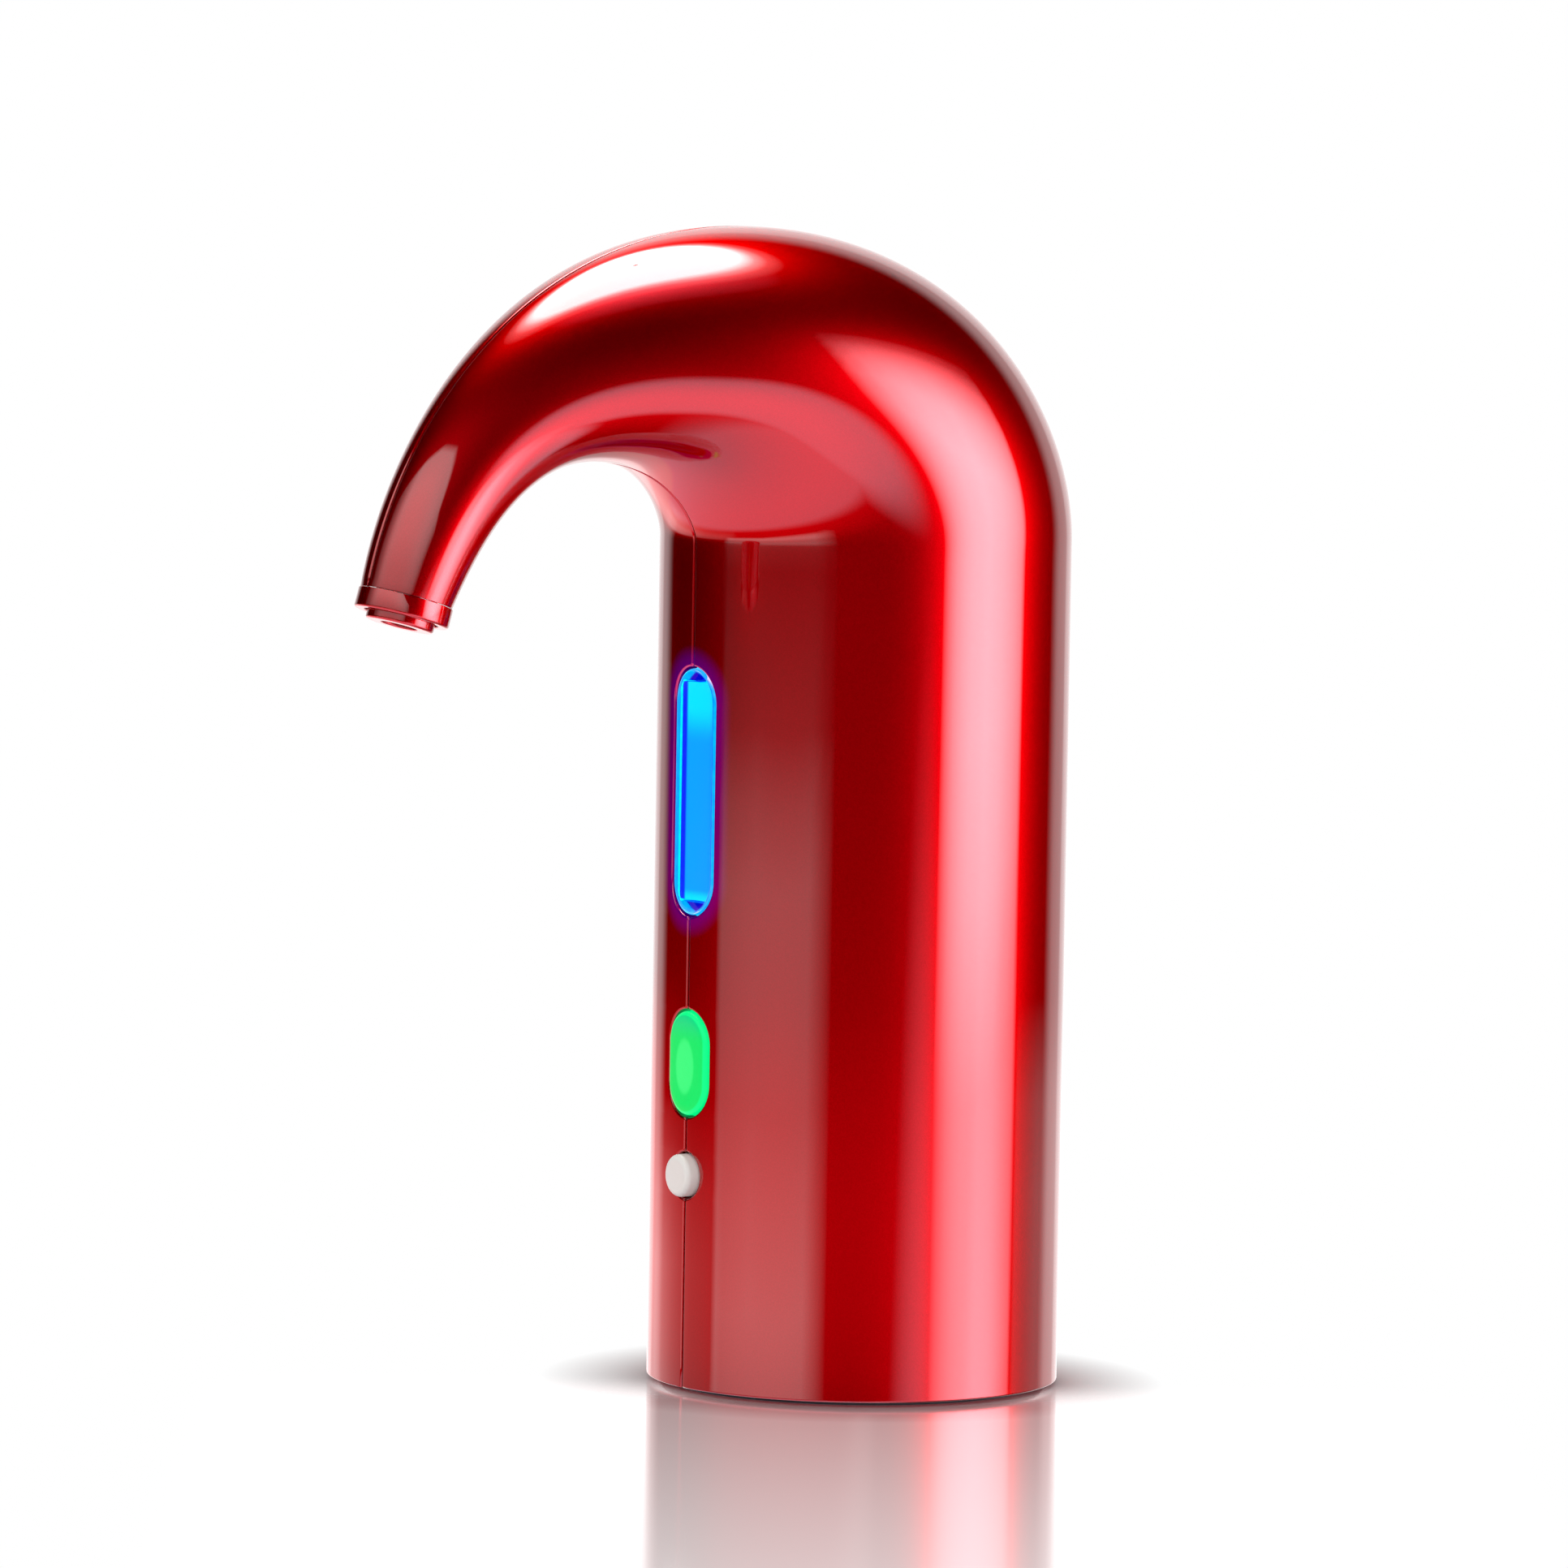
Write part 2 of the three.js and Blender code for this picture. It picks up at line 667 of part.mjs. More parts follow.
// Push switch with its own plunger, behind a button
function pushSwitch(name, height) {
  const bodyDepth = plungerDepth * 2;
  const body = cut(
    block([-switchSide / 2, switchFront, -switchSide / 2], [switchSide / 2, boardFront - fitGap, switchSide / 2]),
    rodAlongY(plungerRadius + fitGap, switchFront - overrun, switchFront + bodyDepth, smallTurnCount),
  );
  const tip = switchFront - plungerProud;
  const plunger = rodAlongY(plungerRadius, tip, switchFront + plungerDepth, smallTurnCount);
  return [
    piece(name, body, blackPlastic, 0, 0, height),
    piece(name + "_plunger", plunger, greyPlastic, 0, 0, height),
  ];
}

// Screw along +Z with its head's outer face at zero
function screw(radius, length, headRadius, headHeight) {
  const whole = turned(
    [[0, 0], [headRadius, 0], [headRadius, headHeight], [radius, headHeight], [radius, length], [0, length]],
    smallTurnCount,
  );
  return cut(whole, rod(headRadius * driveShare, -headHeight, headHeight * driveShare, 6));
}

const boardScrewHeight = deckTop + postHeight / 2;

function controlBoard() {
  const half = boardWidth / 2;
  const plate = block([-half, boardFront, boardBottom], [half, boardBack, boardTop]);
  const holeX = boardScrewSpacing / 2;
  const hole = rodAlongY(boardScrewRadius + fitGap, boardFront - overrun, boardBack + overrun, smallTurnCount);
  const chip = block(
    [-chipSide / 2, boardFront - chipHeight, -chipSide / 2],
    [chipSide / 2, boardFront + boardThickness / 2, chipSide / 2],
  );
  const chipX = half - chipSide;
  const chips = [
    chip.translate([-chipX, 0, boardTop - chipSide]),
    chip.translate([chipX, 0, boardTop - chipSide]),
    chip.translate([chipX, 0, boardBottom + chipSide]),
  ];
  const holes = [-holeX, holeX].map((x) => hole.translate([x, 0, boardScrewHeight]));
  return piece("control_board", cut(join(plate, ...chips), ...holes), boardGreen);
}

function boardScrews() {
  const made = screw(boardScrewRadius, boardScrewLength, boardHeadRadius, boardHeadHeight).rotate([-90, 0, 0]);
  const front = boardFront - fitGap - boardHeadHeight;
  return [-boardScrewSpacing / 2, boardScrewSpacing / 2].map((x, i) =>
    piece(`board_screw_${i + 1}`, made, steel, x, front, boardScrewHeight),
  );
}

// Chassis: a deck over the socket with cups for the battery and the pump, and an upright spine
function chassis() {
  const deck = cut(
    rod(seatRadius, deckBottom, deckTop, aroundCount),
    block([-bodyRadius, -bodyRadius, deckBottom - overrun], [bodyRadius, spineFront, deckTop + overrun]),
  );
  const cup = (radius, x, y) => {
    const bore = radius + fitGap;
    return pipe(bore + cupWall, bore, deckTop - deckThickness / 2, deckTop + cupHeight).translate([x, y, 0]);
  };
  const spineHalf = spineWidth / 2;
  const spine = block([-spineHalf, spineFront, deckBottom], [spineHalf, spineBack, spineTop]);
  const post = (x) =>
    block(
      [x - postWidth / 2, spineFront, deckBottom],
      [x + postWidth / 2, spineFront + postWidth, deckTop + postHeight],
    );
  const postX = boardScrewSpacing / 2;
  const drill = rodAlongY(boardScrewRadius + fitGap, spineFront - overrun, spineFront + postWidth, smallTurnCount);
  const hole = (radius, y) =>
    rod(radius + fitGap, deckBottom - overrun, deckTop + overrun, smallTurnCount).translate([0, y, 0]);
  const whole = join(
    deck,
    cup(cellRadius, cellX, cellY),
    cup(pumpRadius, pumpX, pumpY),
    spine,
    post(-postX),
    post(postX),
  );
  return piece(
    "chassis",
    cut(
      whole,
      hole(inletFlange, 0),
      hole(airFlange, airPortReach),
      drill.translate([-postX, 0, boardScrewHeight]),
      drill.translate([postX, 0, boardScrewHeight]),
    ),
    blackPlastic,
  );
}

function topBridge() {
  const top = bridgeBottom + bridgeThickness;
  const through = (radius, x, y) =>
    rod(radius + fitGap, bridgeBottom - overrun, top + overrun).translate([x, y, 0]);
  const ventHalf = ventWidth / 2 + fitGap;
  const ventFront = ventY - ventDepth / 2 - fitGap;
  const bridge = cut(
    rod(seatRadius, bridgeBottom, top, aroundCount),
    block([-bodyRadius, -bodyRadius, bridgeBottom - overrun], [bodyRadius, -bridgeFront, top + overrun]),
    block([-ventHalf, ventFront, bridgeBottom - overrun], [ventHalf, bodyRadius, top + overrun]),
    through(cellRadius, cellX, cellY),
    through(pumpRadius, pumpX, pumpY),
  );
  return piece("top_bridge", bridge, blackPlastic);
}

function batteryCell() {
  const cell = turned([
    [0, 0],
    [cellRadius - cellEdge, 0],
    [cellRadius, cellEdge],
    [cellRadius, cellLength - cellEdge],
    [cellRadius - cellEdge, cellLength],
    [tabRadius, cellLength],
    [tabRadius, cellLength + tabHeight],
    [0, cellLength + tabHeight],
  ]);
  return piece("battery_cell", cell, cellWrap, cellX, cellY, cellBottom);
}

// Air pump, from the motor up: shaft with an eccentric, housing, diaphragm and cap
function airPump() {
  const group = new THREE.Group();
  group.position.set(pumpX, pumpY, 0);
  const shaftBore = shaftRadius + fitGap;
  const boreBottom = motorTop - shaftDepth;
  const motor = turned([
    [0, motorBottom],
    [pumpRadius, motorBottom],
    [pumpRadius, motorTop],
    [bearingRadius, motorTop],
    [bearingRadius, motorTop + bearingHeight],
    [shaftBore, motorTop + bearingHeight],
    [shaftBore, boreBottom],
    [0, boreBottom],
  ]);
  const eccentricBottom = housingBottom + fitGap;
  const rotor = join(
    rod(shaftRadius, boreBottom + fitGap, eccentricBottom + eccentricHeight, smallTurnCount),
    rod(eccentricRadius, eccentricBottom, eccentricBottom + eccentricHeight).translate([eccentricThrow, 0, 0]),
  );
  const housing = pipe(pumpRadius, pumpRadius - housingWall, housingBottom, housingTop);
  let diaphragm = rod(pumpRadius, diaphragmBottom, diaphragmBottom + diaphragmThickness);
  for (let i = 0; i < chamberCount; i++) {
    const angle = (i * 2 * Math.PI) / chamberCount;
    const chamber = rod(chamberRadius, diaphragmBottom - chamberDepth, capBottom - fitGap, smallTurnCount);
    diaphragm = diaphragm.add(
      chamber.translate([chamberReach * Math.cos(angle), chamberReach * Math.sin(angle), 0]),
    );
  }
  const cap = turned([
    [airBarbBore, capBottom],
    [pumpRadius, capBottom],
    [pumpRadius, capTop],
    [airBarbRadius, capTop],
    [airBarbRadius, capTop + airBarb],
    [airBarbBore, capTop + airBarb],
  ]);
  group.add(
    piece("pump_motor", motor, steel),
    piece("pump_rotor", rotor, steel),
    piece("pump_housing", housing, greyPlastic),
    piece("pump_diaphragm", diaphragm, silicone),
    piece("pump_cap", cap, greyPlastic),
  );
  return group;
}

// Check valve pushed over the pump's outlet, with a ball that lifts off its seat
const checkBottom = capTop + fitGap;
const checkTop = checkBottom + checkLength;
const chamberBottom = checkBottom + airBarb + fitGap + fitGap;
const chamberTop = chamberBottom + 2 * checkBallRadius + checkLift + 2 * fitGap;

function checkValve() {
  const socket = airBarbRadius + fitGap;
  const chamber = checkBallRadius + fitGap;
  const body = turned([
    [socket, checkBottom],
    [checkRadius, checkBottom],
    [checkRadius, checkTop],
    [airBarbRadius, checkTop],
    [airBarbRadius, checkTop + airBarb],
    [airBarbBore, checkTop + airBarb],
    [airBarbBore, chamberTop],
    [chamber, chamberTop],
    [chamber, chamberBottom],
    [airBarbBore, chamberBottom],
    [airBarbBore, chamberBottom - fitGap],
    [socket, chamberBottom - fitGap],
  ]);
  const ball = solid(new THREE.SphereGeometry(checkBallRadius, smallTurnCount, smallTurnCount / 2));
  return [
    piece("check_valve", body, whitePlastic, pumpX, pumpY),
    piece("check_valve_ball", ball, steel, pumpX, pumpY, chamberBottom + fitGap + checkBallRadius),
  ];
}

// Vent valve: a block with a barb at each end and a plunger that slides along X
function ventValve() {
  const halfWidth = ventWidth / 2;
  const halfDepth = ventDepth / 2;
  const barb = (bottom, top) => rod(airBarbRadius, bottom, top, smallTurnCount);
  const bore = plungeRadius + fitGap;
  const boreLength = plungeLength + plungeTravel + fitGap;
  const inner = halfWidth - boreLength;
  const capRadius = bore + cupWall;
  const middle = bridgeBottom - fitGap - capRadius; // the plunger lies under the bridge
  const body = cut(
    join(
      block([-halfWidth, -halfDepth, ventBottom], [halfWidth, halfDepth, ventTop]),
      barb(ventBottom - airBarb, ventBottom + ventHeight / 2),
      barb(ventTop - ventHeight / 2, ventTop + airBarb),
    ),
    rod(bore, inner, halfWidth + overrun, smallTurnCount).rotate([0, 90, 0]).translate([0, 0, middle]),
    rod(airBarbBore, ventBottom - airBarb - overrun, ventTop + airBarb + overrun, tubeSides),
  );
  const plungeStart = inner + plungeTravel;
  const plunger = rod(plungeRadius, plungeStart, plungeStart + plungeLength, smallTurnCount).rotate([0, 90, 0]);
  const capStart = halfWidth + fitGap;
  const cap = rod(capRadius, capStart, capStart + ventCapThickness, smallTurnCount).rotate([0, 90, 0]);
  return [
    piece("vent_valve", body, greyPlastic, 0, ventY),
    piece("vent_plunger", plunger, steel, 0, ventY, middle),
    piece("vent_cap", cap, steel, 0, ventY, middle),
  ];
}

// Fitting through the socket's ceiling, with a flange on top and a barb at each end
function ceilingFitting(name, y, barbRadius, bore, stemRadius, flangeRadius, upperBarb, lowerBarb) {
  const flangeBottom = ceilingTop + fitGap;
  const flangeTop = flangeBottom + flangeThickness;
  const top = flangeTop + upperBarb;
  const bottom = ceilingBottom - lowerBarb;
  const fitting = turned(
    [
      [bore, bottom],
      [stemRadius, bottom],
      [stemRadius, flangeBottom],
      [flangeRadius, flangeBottom],
      [flangeRadius, flangeTop],
      [barbRadius, flangeTop],
      [barbRadius, top],
      [bore, top],
    ],
    smallTurnCount,
  );
  return piece(name, fitting, whitePlastic, 0, y);
}

const fittingFlangeTop = ceilingTop + fitGap + flangeThickness;

function bottleSocket() {
  const flangeRadius = socketRadius + socketFlange;
  const flangeTop = socketFlangeBottom + socketFlangeThickness;
  const cup = turned([
    [0, ceilingBottom],
    [socketBore, ceilingBottom],
    [socketBore, basePlateBottom],
    [socketRadius, basePlateBottom],
    [socketRadius, socketFlangeBottom],
    [flangeRadius, socketFlangeBottom],
    [flangeRadius, flangeTop],
    [socketRadius, flangeTop],
    [socketRadius, ceilingTop],
    [0, ceilingTop],
  ]);
  const hole = (radius, y) =>
    rod(radius + fitGap, ceilingBottom - overrun, ceilingTop + overrun, smallTurnCount).translate([0, y, 0]);
  const drilled = cut(cup, hole(fittingStem, 0), hole(airBarbRadius, airPortReach));
  return piece("bottle_socket", drilled, blackPlastic);
}

// Soft sleeve that grips the bottle's mouth, with round lips and a seal at its top
function socketSleeve() {
  const top = sleeveBottom + neckDepth;
  const sealBottom = top - mouthSealThickness;
  const corners = [
    [mouthSealBore, top],
    [sleeveRadius, top],
    [sleeveRadius, sleeveBottom + sleeveLipThickness],
    [socketRadius, sleeveBottom + sleeveLipThickness],
    [socketRadius, sleeveBottom],
    [sleeveBore, sleeveBottom],
  ];
  const pitch = (sealBottom - sleeveBottom) / (sealLipCount + 1);
  for (let i = 1; i <= sealLipCount; i++) {
    const middle = sleeveBottom + i * pitch;
    corners.push([sleeveBore, middle - sealLipHeight]);
    corners.push([sleeveBore - sealLipReach, middle]);
    corners.push([sleeveBore, middle + sealLipHeight]);
  }
  corners.push([sleeveBore, sealBottom], [mouthSealBore, sealBottom]);
  return piece("socket_sleeve", turned(corners), silicone);
}

function basePlate() {
  const headDepth = baseHeadHeight + fitGap;
  const plate = pipe(seatRadius, socketRadius + fitGap, basePlateBottom, basePlateTop, aroundCount);
  const holes = bossPlaces.map(({ x, y }) =>
    join(
      rod(baseScrewRadius + fitGap, basePlateBottom - overrun, basePlateTop + overrun, smallTurnCount),
      rod(baseHeadRadius + fitGap, basePlateBottom - overrun, basePlateBottom + headDepth, smallTurnCount),
    ).translate([x, y, 0]),
  );
  return piece("base_plate", cut(plate, ...holes), blackPlastic);
}

function baseScrews() {
  const made = screw(baseScrewRadius, baseScrewLength, baseHeadRadius, baseHeadHeight);
  return bossPlaces.map(({ x, y }, i) => piece(`base_screw_${i + 1}`, made, steel, x, y, basePlateBottom));
}

const footRing = () => piece("foot_ring", pipe(seatRadius, seatRadius - footWidth, 0, footHeight, aroundCount), blackRubber);

// Wine line: two tubes and the aerator between them
function wineLine() {
  const flowBore = wineBarbBore;
  const waist = aeratorBottom + aeratorLength * waistShare;
  const body = cut(
    turned([
      [flowBore, aeratorBottom - wineBarb],
      [wineBarbRadius, aeratorBottom - wineBarb],
      [wineBarbRadius, aeratorBottom],
      [aeratorRadius, aeratorBottom],
      [waistRadius, waist],
      [aeratorRadius, aeratorTop],
      [wineBarbRadius, aeratorTop],
      [wineBarbRadius, aeratorTop + wineBarb],
      [flowBore, aeratorTop + wineBarb],
    ]),
    rod(airInletRadius, 0, aeratorRadius + overrun, tubeSides).rotate([0, 90, 0]).translate([0, 0, waist]),
  );
  const at = (y, z) => new THREE.Vector3(0, y, z);
  const lowerStart = fittingFlangeTop + fitGap;
  const lowerEnd = aeratorBottom - fitGap;
  const lower = [
    ...straightRun(at(0, lowerStart), at(0, wineBarb + wineTubeBore)),
    at(aeratorY / 2, (lowerStart + lowerEnd) / 2),
    ...straightRun(at(aeratorY, lowerEnd), at(0, -wineBarb - wineTubeBore)).reverse(),
  ];
  const upperStart = aeratorTop + fitGap;
  const bendPoint = (share) => {
    const { centre } = bend[Math.round(share * (bend.length - 1))];
    return at(centre.x, centre.y);
  };
  const upper = [
    ...straightRun(at(aeratorY, upperStart), at(0, wineBarb)),
    at(aeratorY, shoulderHeight),
    ...tubeBendShares.map(bendPoint),
    ...straightRun(
      at(nozzleSeat.x, nozzleSeat.y),
      at(-tipFlow.x, -tipFlow.y).multiplyScalar(wineBarb),
    ).reverse(),
  ];
  return [
    piece("wine_tube_lower", hose(lower, wineTubeRadius, wineTubeBore, 10), silicone),
    piece("aerator", body, clearPlastic, 0, aeratorY),
    piece("wine_tube_upper", hose(upper, wineTubeRadius, wineTubeBore, 22), silicone),
  ];
}

// Air line: pump outlet to the vent valve, and down to the fitting in the socket's ceiling
function airLine() {
  const start = checkTop + fitGap;
  const end = ventTop + fitGap;
  const at = (x, y, z) => new THREE.Vector3(x, y, z);
  const peak = start + airBarb + Math.hypot(pumpX, ventY - pumpY) / 2;
  const upper = [
    ...straightRun(at(pumpX, pumpY, start), at(0, 0, airBarb)),
    at(pumpX / 2, (pumpY + ventY) / 2, peak),
    at(0, ventY, start + airBarb),
    ...straightRun(at(0, ventY, end), at(0, 0, airBarb)).reverse(),
  ];
  const lowerStart = fittingFlangeTop + fitGap;
  const lowerEnd = ventBottom - fitGap;
  const lower = [
    ...straightRun(at(0, airPortReach, lowerStart), at(0, 0, airBarb)),
    at(0, (airPortReach + ventY) / 2, (lowerStart + lowerEnd) / 2),
    ...straightRun(at(0, ventY, lowerEnd), at(0, 0, -airBarb)).reverse(),
  ];
  return [
    piece("air_hose_upper", hose(upper, airHoseRadius, airHoseBore, 18), silicone),
    piece("air_hose_lower", hose(lower, airHoseRadius, airHoseBore, 10), silicone),
  ];
}

// Charging socket in the back wall, on a small board of its own
const portMouth = Math.sqrt(bodyRadius ** 2 - (portWidth / 2) ** 2) - portInset;

function charging() {
  const outline = stadium(portHeight, portWidth);
  const inside = stadium(portHeight - 2 * portWall, portWidth - 2 * portWall);
  const port = cut(
    prismAlongY(outline, portMouth - portDepth, portMouth),
    prismAlongY(inside, portMouth - portDepth + portWall, portMouth + overrun),
  ).rotate([0, 90, 0]);
  const tongue = block(
    [-portWidth / 4, portMouth - portDepth, -portWall],
    [portWidth / 4, portMouth - portDepth / 4, portWall],
  );
  const half = chargeBoardWidth / 2;
  const boardEnd = Math.sqrt(seatRadius ** 2 - half ** 2);
  const top = portCentreHeight - portHeight / 2 - fitGap;
  const board = block([-half, socketRadius + fitGap, top - chargeBoardThickness], [half, boardEnd, top]);
  return [
    piece("charge_port", port.add(tongue), steel, 0, 0, portCentreHeight),
    piece("charge_board", board, boardGreen),
  ];
}

// Leads, each along the route that the pieces beside it leave free
function leads() {
  const at = (x, y, z) => new THREE.Vector3(x, y, z);
  const sideX = -(lightWidth / 2 + bracketWall + 2 * fitGap + 2 * leadRadius);
  const boardMiddle = (boardFront + boardBack) / 2;
  const tabTop = cellTop + tabHeight;
  const battery = [
    ...straightRun(at(cellX, cellY, tabTop + fitGap), at(0, 0, 3 * leadRadius)),
    at(cellX * 0.8, aeratorY * 0.4, tabTop + 6 * leadRadius),
    at(sideX, boardMiddle, tabTop - 4 * leadRadius),
    at(sideX, boardMiddle, (tabTop + boardTop) / 2),
    at(sideX, boardMiddle, boardTop + fitGap),
  ];
  const motorX = pumpX * 0.65;
  const motorY = pumpY - Math.sqrt(pumpRadius ** 2 - (pumpX - motorX) ** 2);
  const motorZ = deckTop + cupHeight + 4 * leadRadius;
  const motor = [
    at(motorX, motorY - fitGap - leadRadius * 0.6, motorZ),
    at(motorX, (motorY + spineBack) / 2, motorZ + leadRadius),
    at(motorX, boardBack + fitGap, motorZ),
  ];
  const ringRun = (socketRadius + seatRadius) / 2;
  const chargeZ = portCentreHeight - portHeight / 2 - fitGap - chargeBoardThickness / 2;
  const around = (degrees, z) => {
    const angle = THREE.MathUtils.degToRad(degrees);
    return at(ringRun * Math.cos(angle), ringRun * Math.sin(angle), z);
  };
  const boardEdge = chargeBoardWidth / 2;
  const chargeStart = at(-boardEdge - fitGap, Math.sqrt(ringRun ** 2 - boardEdge ** 2), chargeZ);
  const charge = [
    ...straightRun(chargeStart, at(-3 * leadRadius, 0, 0)),
    around(130, chargeZ),
    around(155, chargeZ),
    around(185, chargeZ),
    around(212, chargeZ),
    at(sideX, boardMiddle, boardBottom - 3 * leadRadius),
    at(sideX, boardMiddle, boardBottom - fitGap),
  ];
  return [
    piece("battery_lead", hose(battery, leadRadius, 0, 16, tubeSides), leadRed),
    piece("motor_lead", hose(motor, leadRadius, 0, 6, tubeSides), leadRed),
    piece("charge_lead", hose(charge, leadRadius, 0, 16, tubeSides), leadRed),
  ];
}

const decanter = new THREE.Group();
decanter.name = "electric_wine_decanter";
decanter.add(
  piece("right_shell", shellHalf(1), candyRed),
  piece("left_shell", shellHalf(-1), candyRed),
  spoutEnd(),
  windowLens(),
  ...windowLight(),
  mainButton(),
  powerButton(),
  ...pushSwitch("main_switch", mainCentreHeight),
  ...pushSwitch("power_switch", powerCentreHeight),
  controlBoard(),
  ...boardScrews(),
  chassis(),
  topBridge(),
  batteryCell(),
  airPump(),
  ...checkValve(),
  ...ventValve(),
  ceilingFitting(
    "inlet_fitting", 0, wineBarbRadius, wineBarbBore, fittingStem, inletFlange, wineBarb, suctionBarb,
  ),
  ceilingFitting(
    "air_fitting", airPortReach, airBarbRadius, airBarbBore, airBarbRadius, airFlange, airBarb, 0,
  ),
  bottleSocket(),
  socketSleeve(),
  basePlate(),
  ...baseScrews(),
  footRing(),
  ...wineLine(),
  ...airLine(),
  ...charging(),
  ...leads(),
);

export default decanter;
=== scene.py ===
import json
import math

import bmesh
import bpy
import numpy as np
from mathutils import Matrix, Quaternion, Vector


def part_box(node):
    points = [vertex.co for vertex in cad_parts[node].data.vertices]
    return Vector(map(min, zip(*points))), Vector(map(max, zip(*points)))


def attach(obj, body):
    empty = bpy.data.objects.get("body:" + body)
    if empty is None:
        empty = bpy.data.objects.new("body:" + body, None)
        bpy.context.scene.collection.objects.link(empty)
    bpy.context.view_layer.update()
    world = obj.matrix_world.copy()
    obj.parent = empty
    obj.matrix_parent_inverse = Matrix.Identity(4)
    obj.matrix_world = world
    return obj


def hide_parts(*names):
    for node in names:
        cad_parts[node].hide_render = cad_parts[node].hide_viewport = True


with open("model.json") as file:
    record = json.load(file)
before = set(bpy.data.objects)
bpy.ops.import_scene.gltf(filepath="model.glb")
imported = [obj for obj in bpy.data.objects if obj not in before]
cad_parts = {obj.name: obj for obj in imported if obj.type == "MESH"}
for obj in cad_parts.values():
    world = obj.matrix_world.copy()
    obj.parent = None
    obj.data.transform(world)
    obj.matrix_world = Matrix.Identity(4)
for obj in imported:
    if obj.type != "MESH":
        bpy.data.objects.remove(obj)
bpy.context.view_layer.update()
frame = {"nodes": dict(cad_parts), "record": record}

MM = 0.001

# Housing outline, seen from the side
BODY_RADIUS = 31 * MM
WALL = 2 * MM
SEAM_GAP = 0.3 * MM
FIT_GAP = 0.3 * MM
FLOOR_GAP = 0.7 * MM
SHOULDER_HEIGHT = 127.5 * MM
EVEN_FROM = 121 * MM  # the normals are evened from this height up
EVEN_SPREAD = 1.6 * MM
CROWN = np.array((-24, 174.3)) * MM
ARCH = np.array((-50.4, 139.5)) * MM
TIP_FACE = np.array((-82.4, 117.1)) * MM
TIP_TILT = math.radians(16)
OUTER_FLARE = math.radians(12.1)
INNER_FLARE = math.radians(25.9)
TIP_RADIUS = 6.9 * MM
BACK_HANDLE = 19.9 * MM
CROWN_BACK_HANDLE = 37.5 * MM
CROWN_FRONT_HANDLE = 34.9 * MM
TIP_OUTER_HANDLE = 27.6 * MM
THROAT_HANDLE = 2.4 * MM
ARCH_BACK_HANDLE = 14.8 * MM
ARCH_FRONT_HANDLE = 7.9 * MM
TIP_INNER_HANDLE = 20.8 * MM
RING_LENGTH = 3 * MM
CROWN_PACE = (0.242, 0.32)  # keeps the inner line in step with the outer one over the crown

# Openings on the seam: centre height, half height, half width
WINDOW = (90.1 * MM, 18.7 * MM, 5.45 * MM)
MAIN_HOLE = (49.5 * MM, 8.1 * MM, 5.2 * MM)
POWER_HOLE = (32.7 * MM, 3.5 * MM, 3.5 * MM)
PORT_HOLE = (20 * MM, 1.9 * MM, 4.75 * MM)
OPENING_REACH = 0.5  # radians of the skin that give way to an opening
BOSS_PLACE = (20.22 * MM, 16.97 * MM)

# Rounded edges of the shells
SEAM_EDGE = 0.36 * MM
FOOT_EDGE = 0.3 * MM
TIP_EDGE = 0.07 * MM

# Window
LENS_RADIUS = 30.85 * MM
LENS_BACK = -27 * MM
LENS_EDGE = 0.5 * MM
LENS_LIP = 1.2 * MM
POCKET_MARGIN = 0.6 * MM
GUIDE_HALF_WIDTH = 4.2 * MM
GUIDE_HALF_HEIGHT = 16.25 * MM

# Buttons
MAIN_LIP = 1.1 * MM
MAIN_EDGE = 0.8 * MM
MAIN_DISH = 0.12 * MM
POWER_LIP_RADIUS = 4.6 * MM
STEM_RADIUS = 1.6 * MM
LIP_THICKNESS = 1 * MM

# Hoses and leads in millimetres: outer and bore radius, and the lines that their routes keep to
WINE_TUBE = (3, 2)
AIR_HOSE = (2.5, 1.5)
LEAD = (0.9, 0)
AERATOR_Y = -12.708
AIR_FITTING_Y = 7.6
VENT_Y = 20.468
LEAD_X = -7.8
LEAD_Y = -20.408
MOTOR_LEAD_X = 10.075
CHARGE_RADIUS = 23.85
CHARGE_HEIGHT = 17.6

# Counts, steps and limits
BEND_STEPS = 60
BEND_CROWDING = 1.5  # above 1, sections stand closer at the bend's start
BODY_STEP = 3 * MM
PORT_STEPS = 8
MITRE_LIMIT = 0.4
CAP_SHARES = (0.04, 0.2, 0.4, 0.6, 0.8)  # from a cap's middle to its rounded edge
CAP_EDGE_STEPS = 6
POWER_CORNER_STEPS = 8
COLUMNS = 65
EDGE_STEPS = 4
OPENING_STEPS = 14
CORNER_STEPS = 5
TURN_SEGMENTS = 128
BOSS_SEGMENTS = 48
OUTLINE_STEPS = 96
TUBE_SIDES = 24
TUBE_SAMPLES = 8  # between two points of a route
SHARP_ANGLE = 35
TUBE_SHARP_ANGLE = 50

# The photograph's camera
VIEW_AZIMUTH = math.radians(55.49)
VIEW_ELEVATION = math.radians(4.44)
VIEW_DISTANCE = 1.49843
VIEW_ROLL = math.radians(0.96)
VIEW_AIM = Vector((-0.00662, -0.00963, 0.09015))
VIEW_LENS = 228.4
VIEW_BACK = Vector((
    math.sin(VIEW_AZIMUTH) * math.cos(VIEW_ELEVATION),
    -math.cos(VIEW_AZIMUTH) * math.cos(VIEW_ELEVATION),
    math.sin(VIEW_ELEVATION),
))
VIEW_RIGHT = Vector((math.cos(VIEW_AZIMUTH), math.sin(VIEW_AZIMUTH), 0))
VIEW_NEAR = Vector((math.sin(VIEW_AZIMUTH), -math.cos(VIEW_AZIMUTH), 0))

# Light, in units where white shows as white
LAMP_DISTANCE = 0.7
CORNER_CUTS = 3
AMBIENT_LEVEL = 0.75
GROUND_TINT = (0.85, 1.0, 1.25)

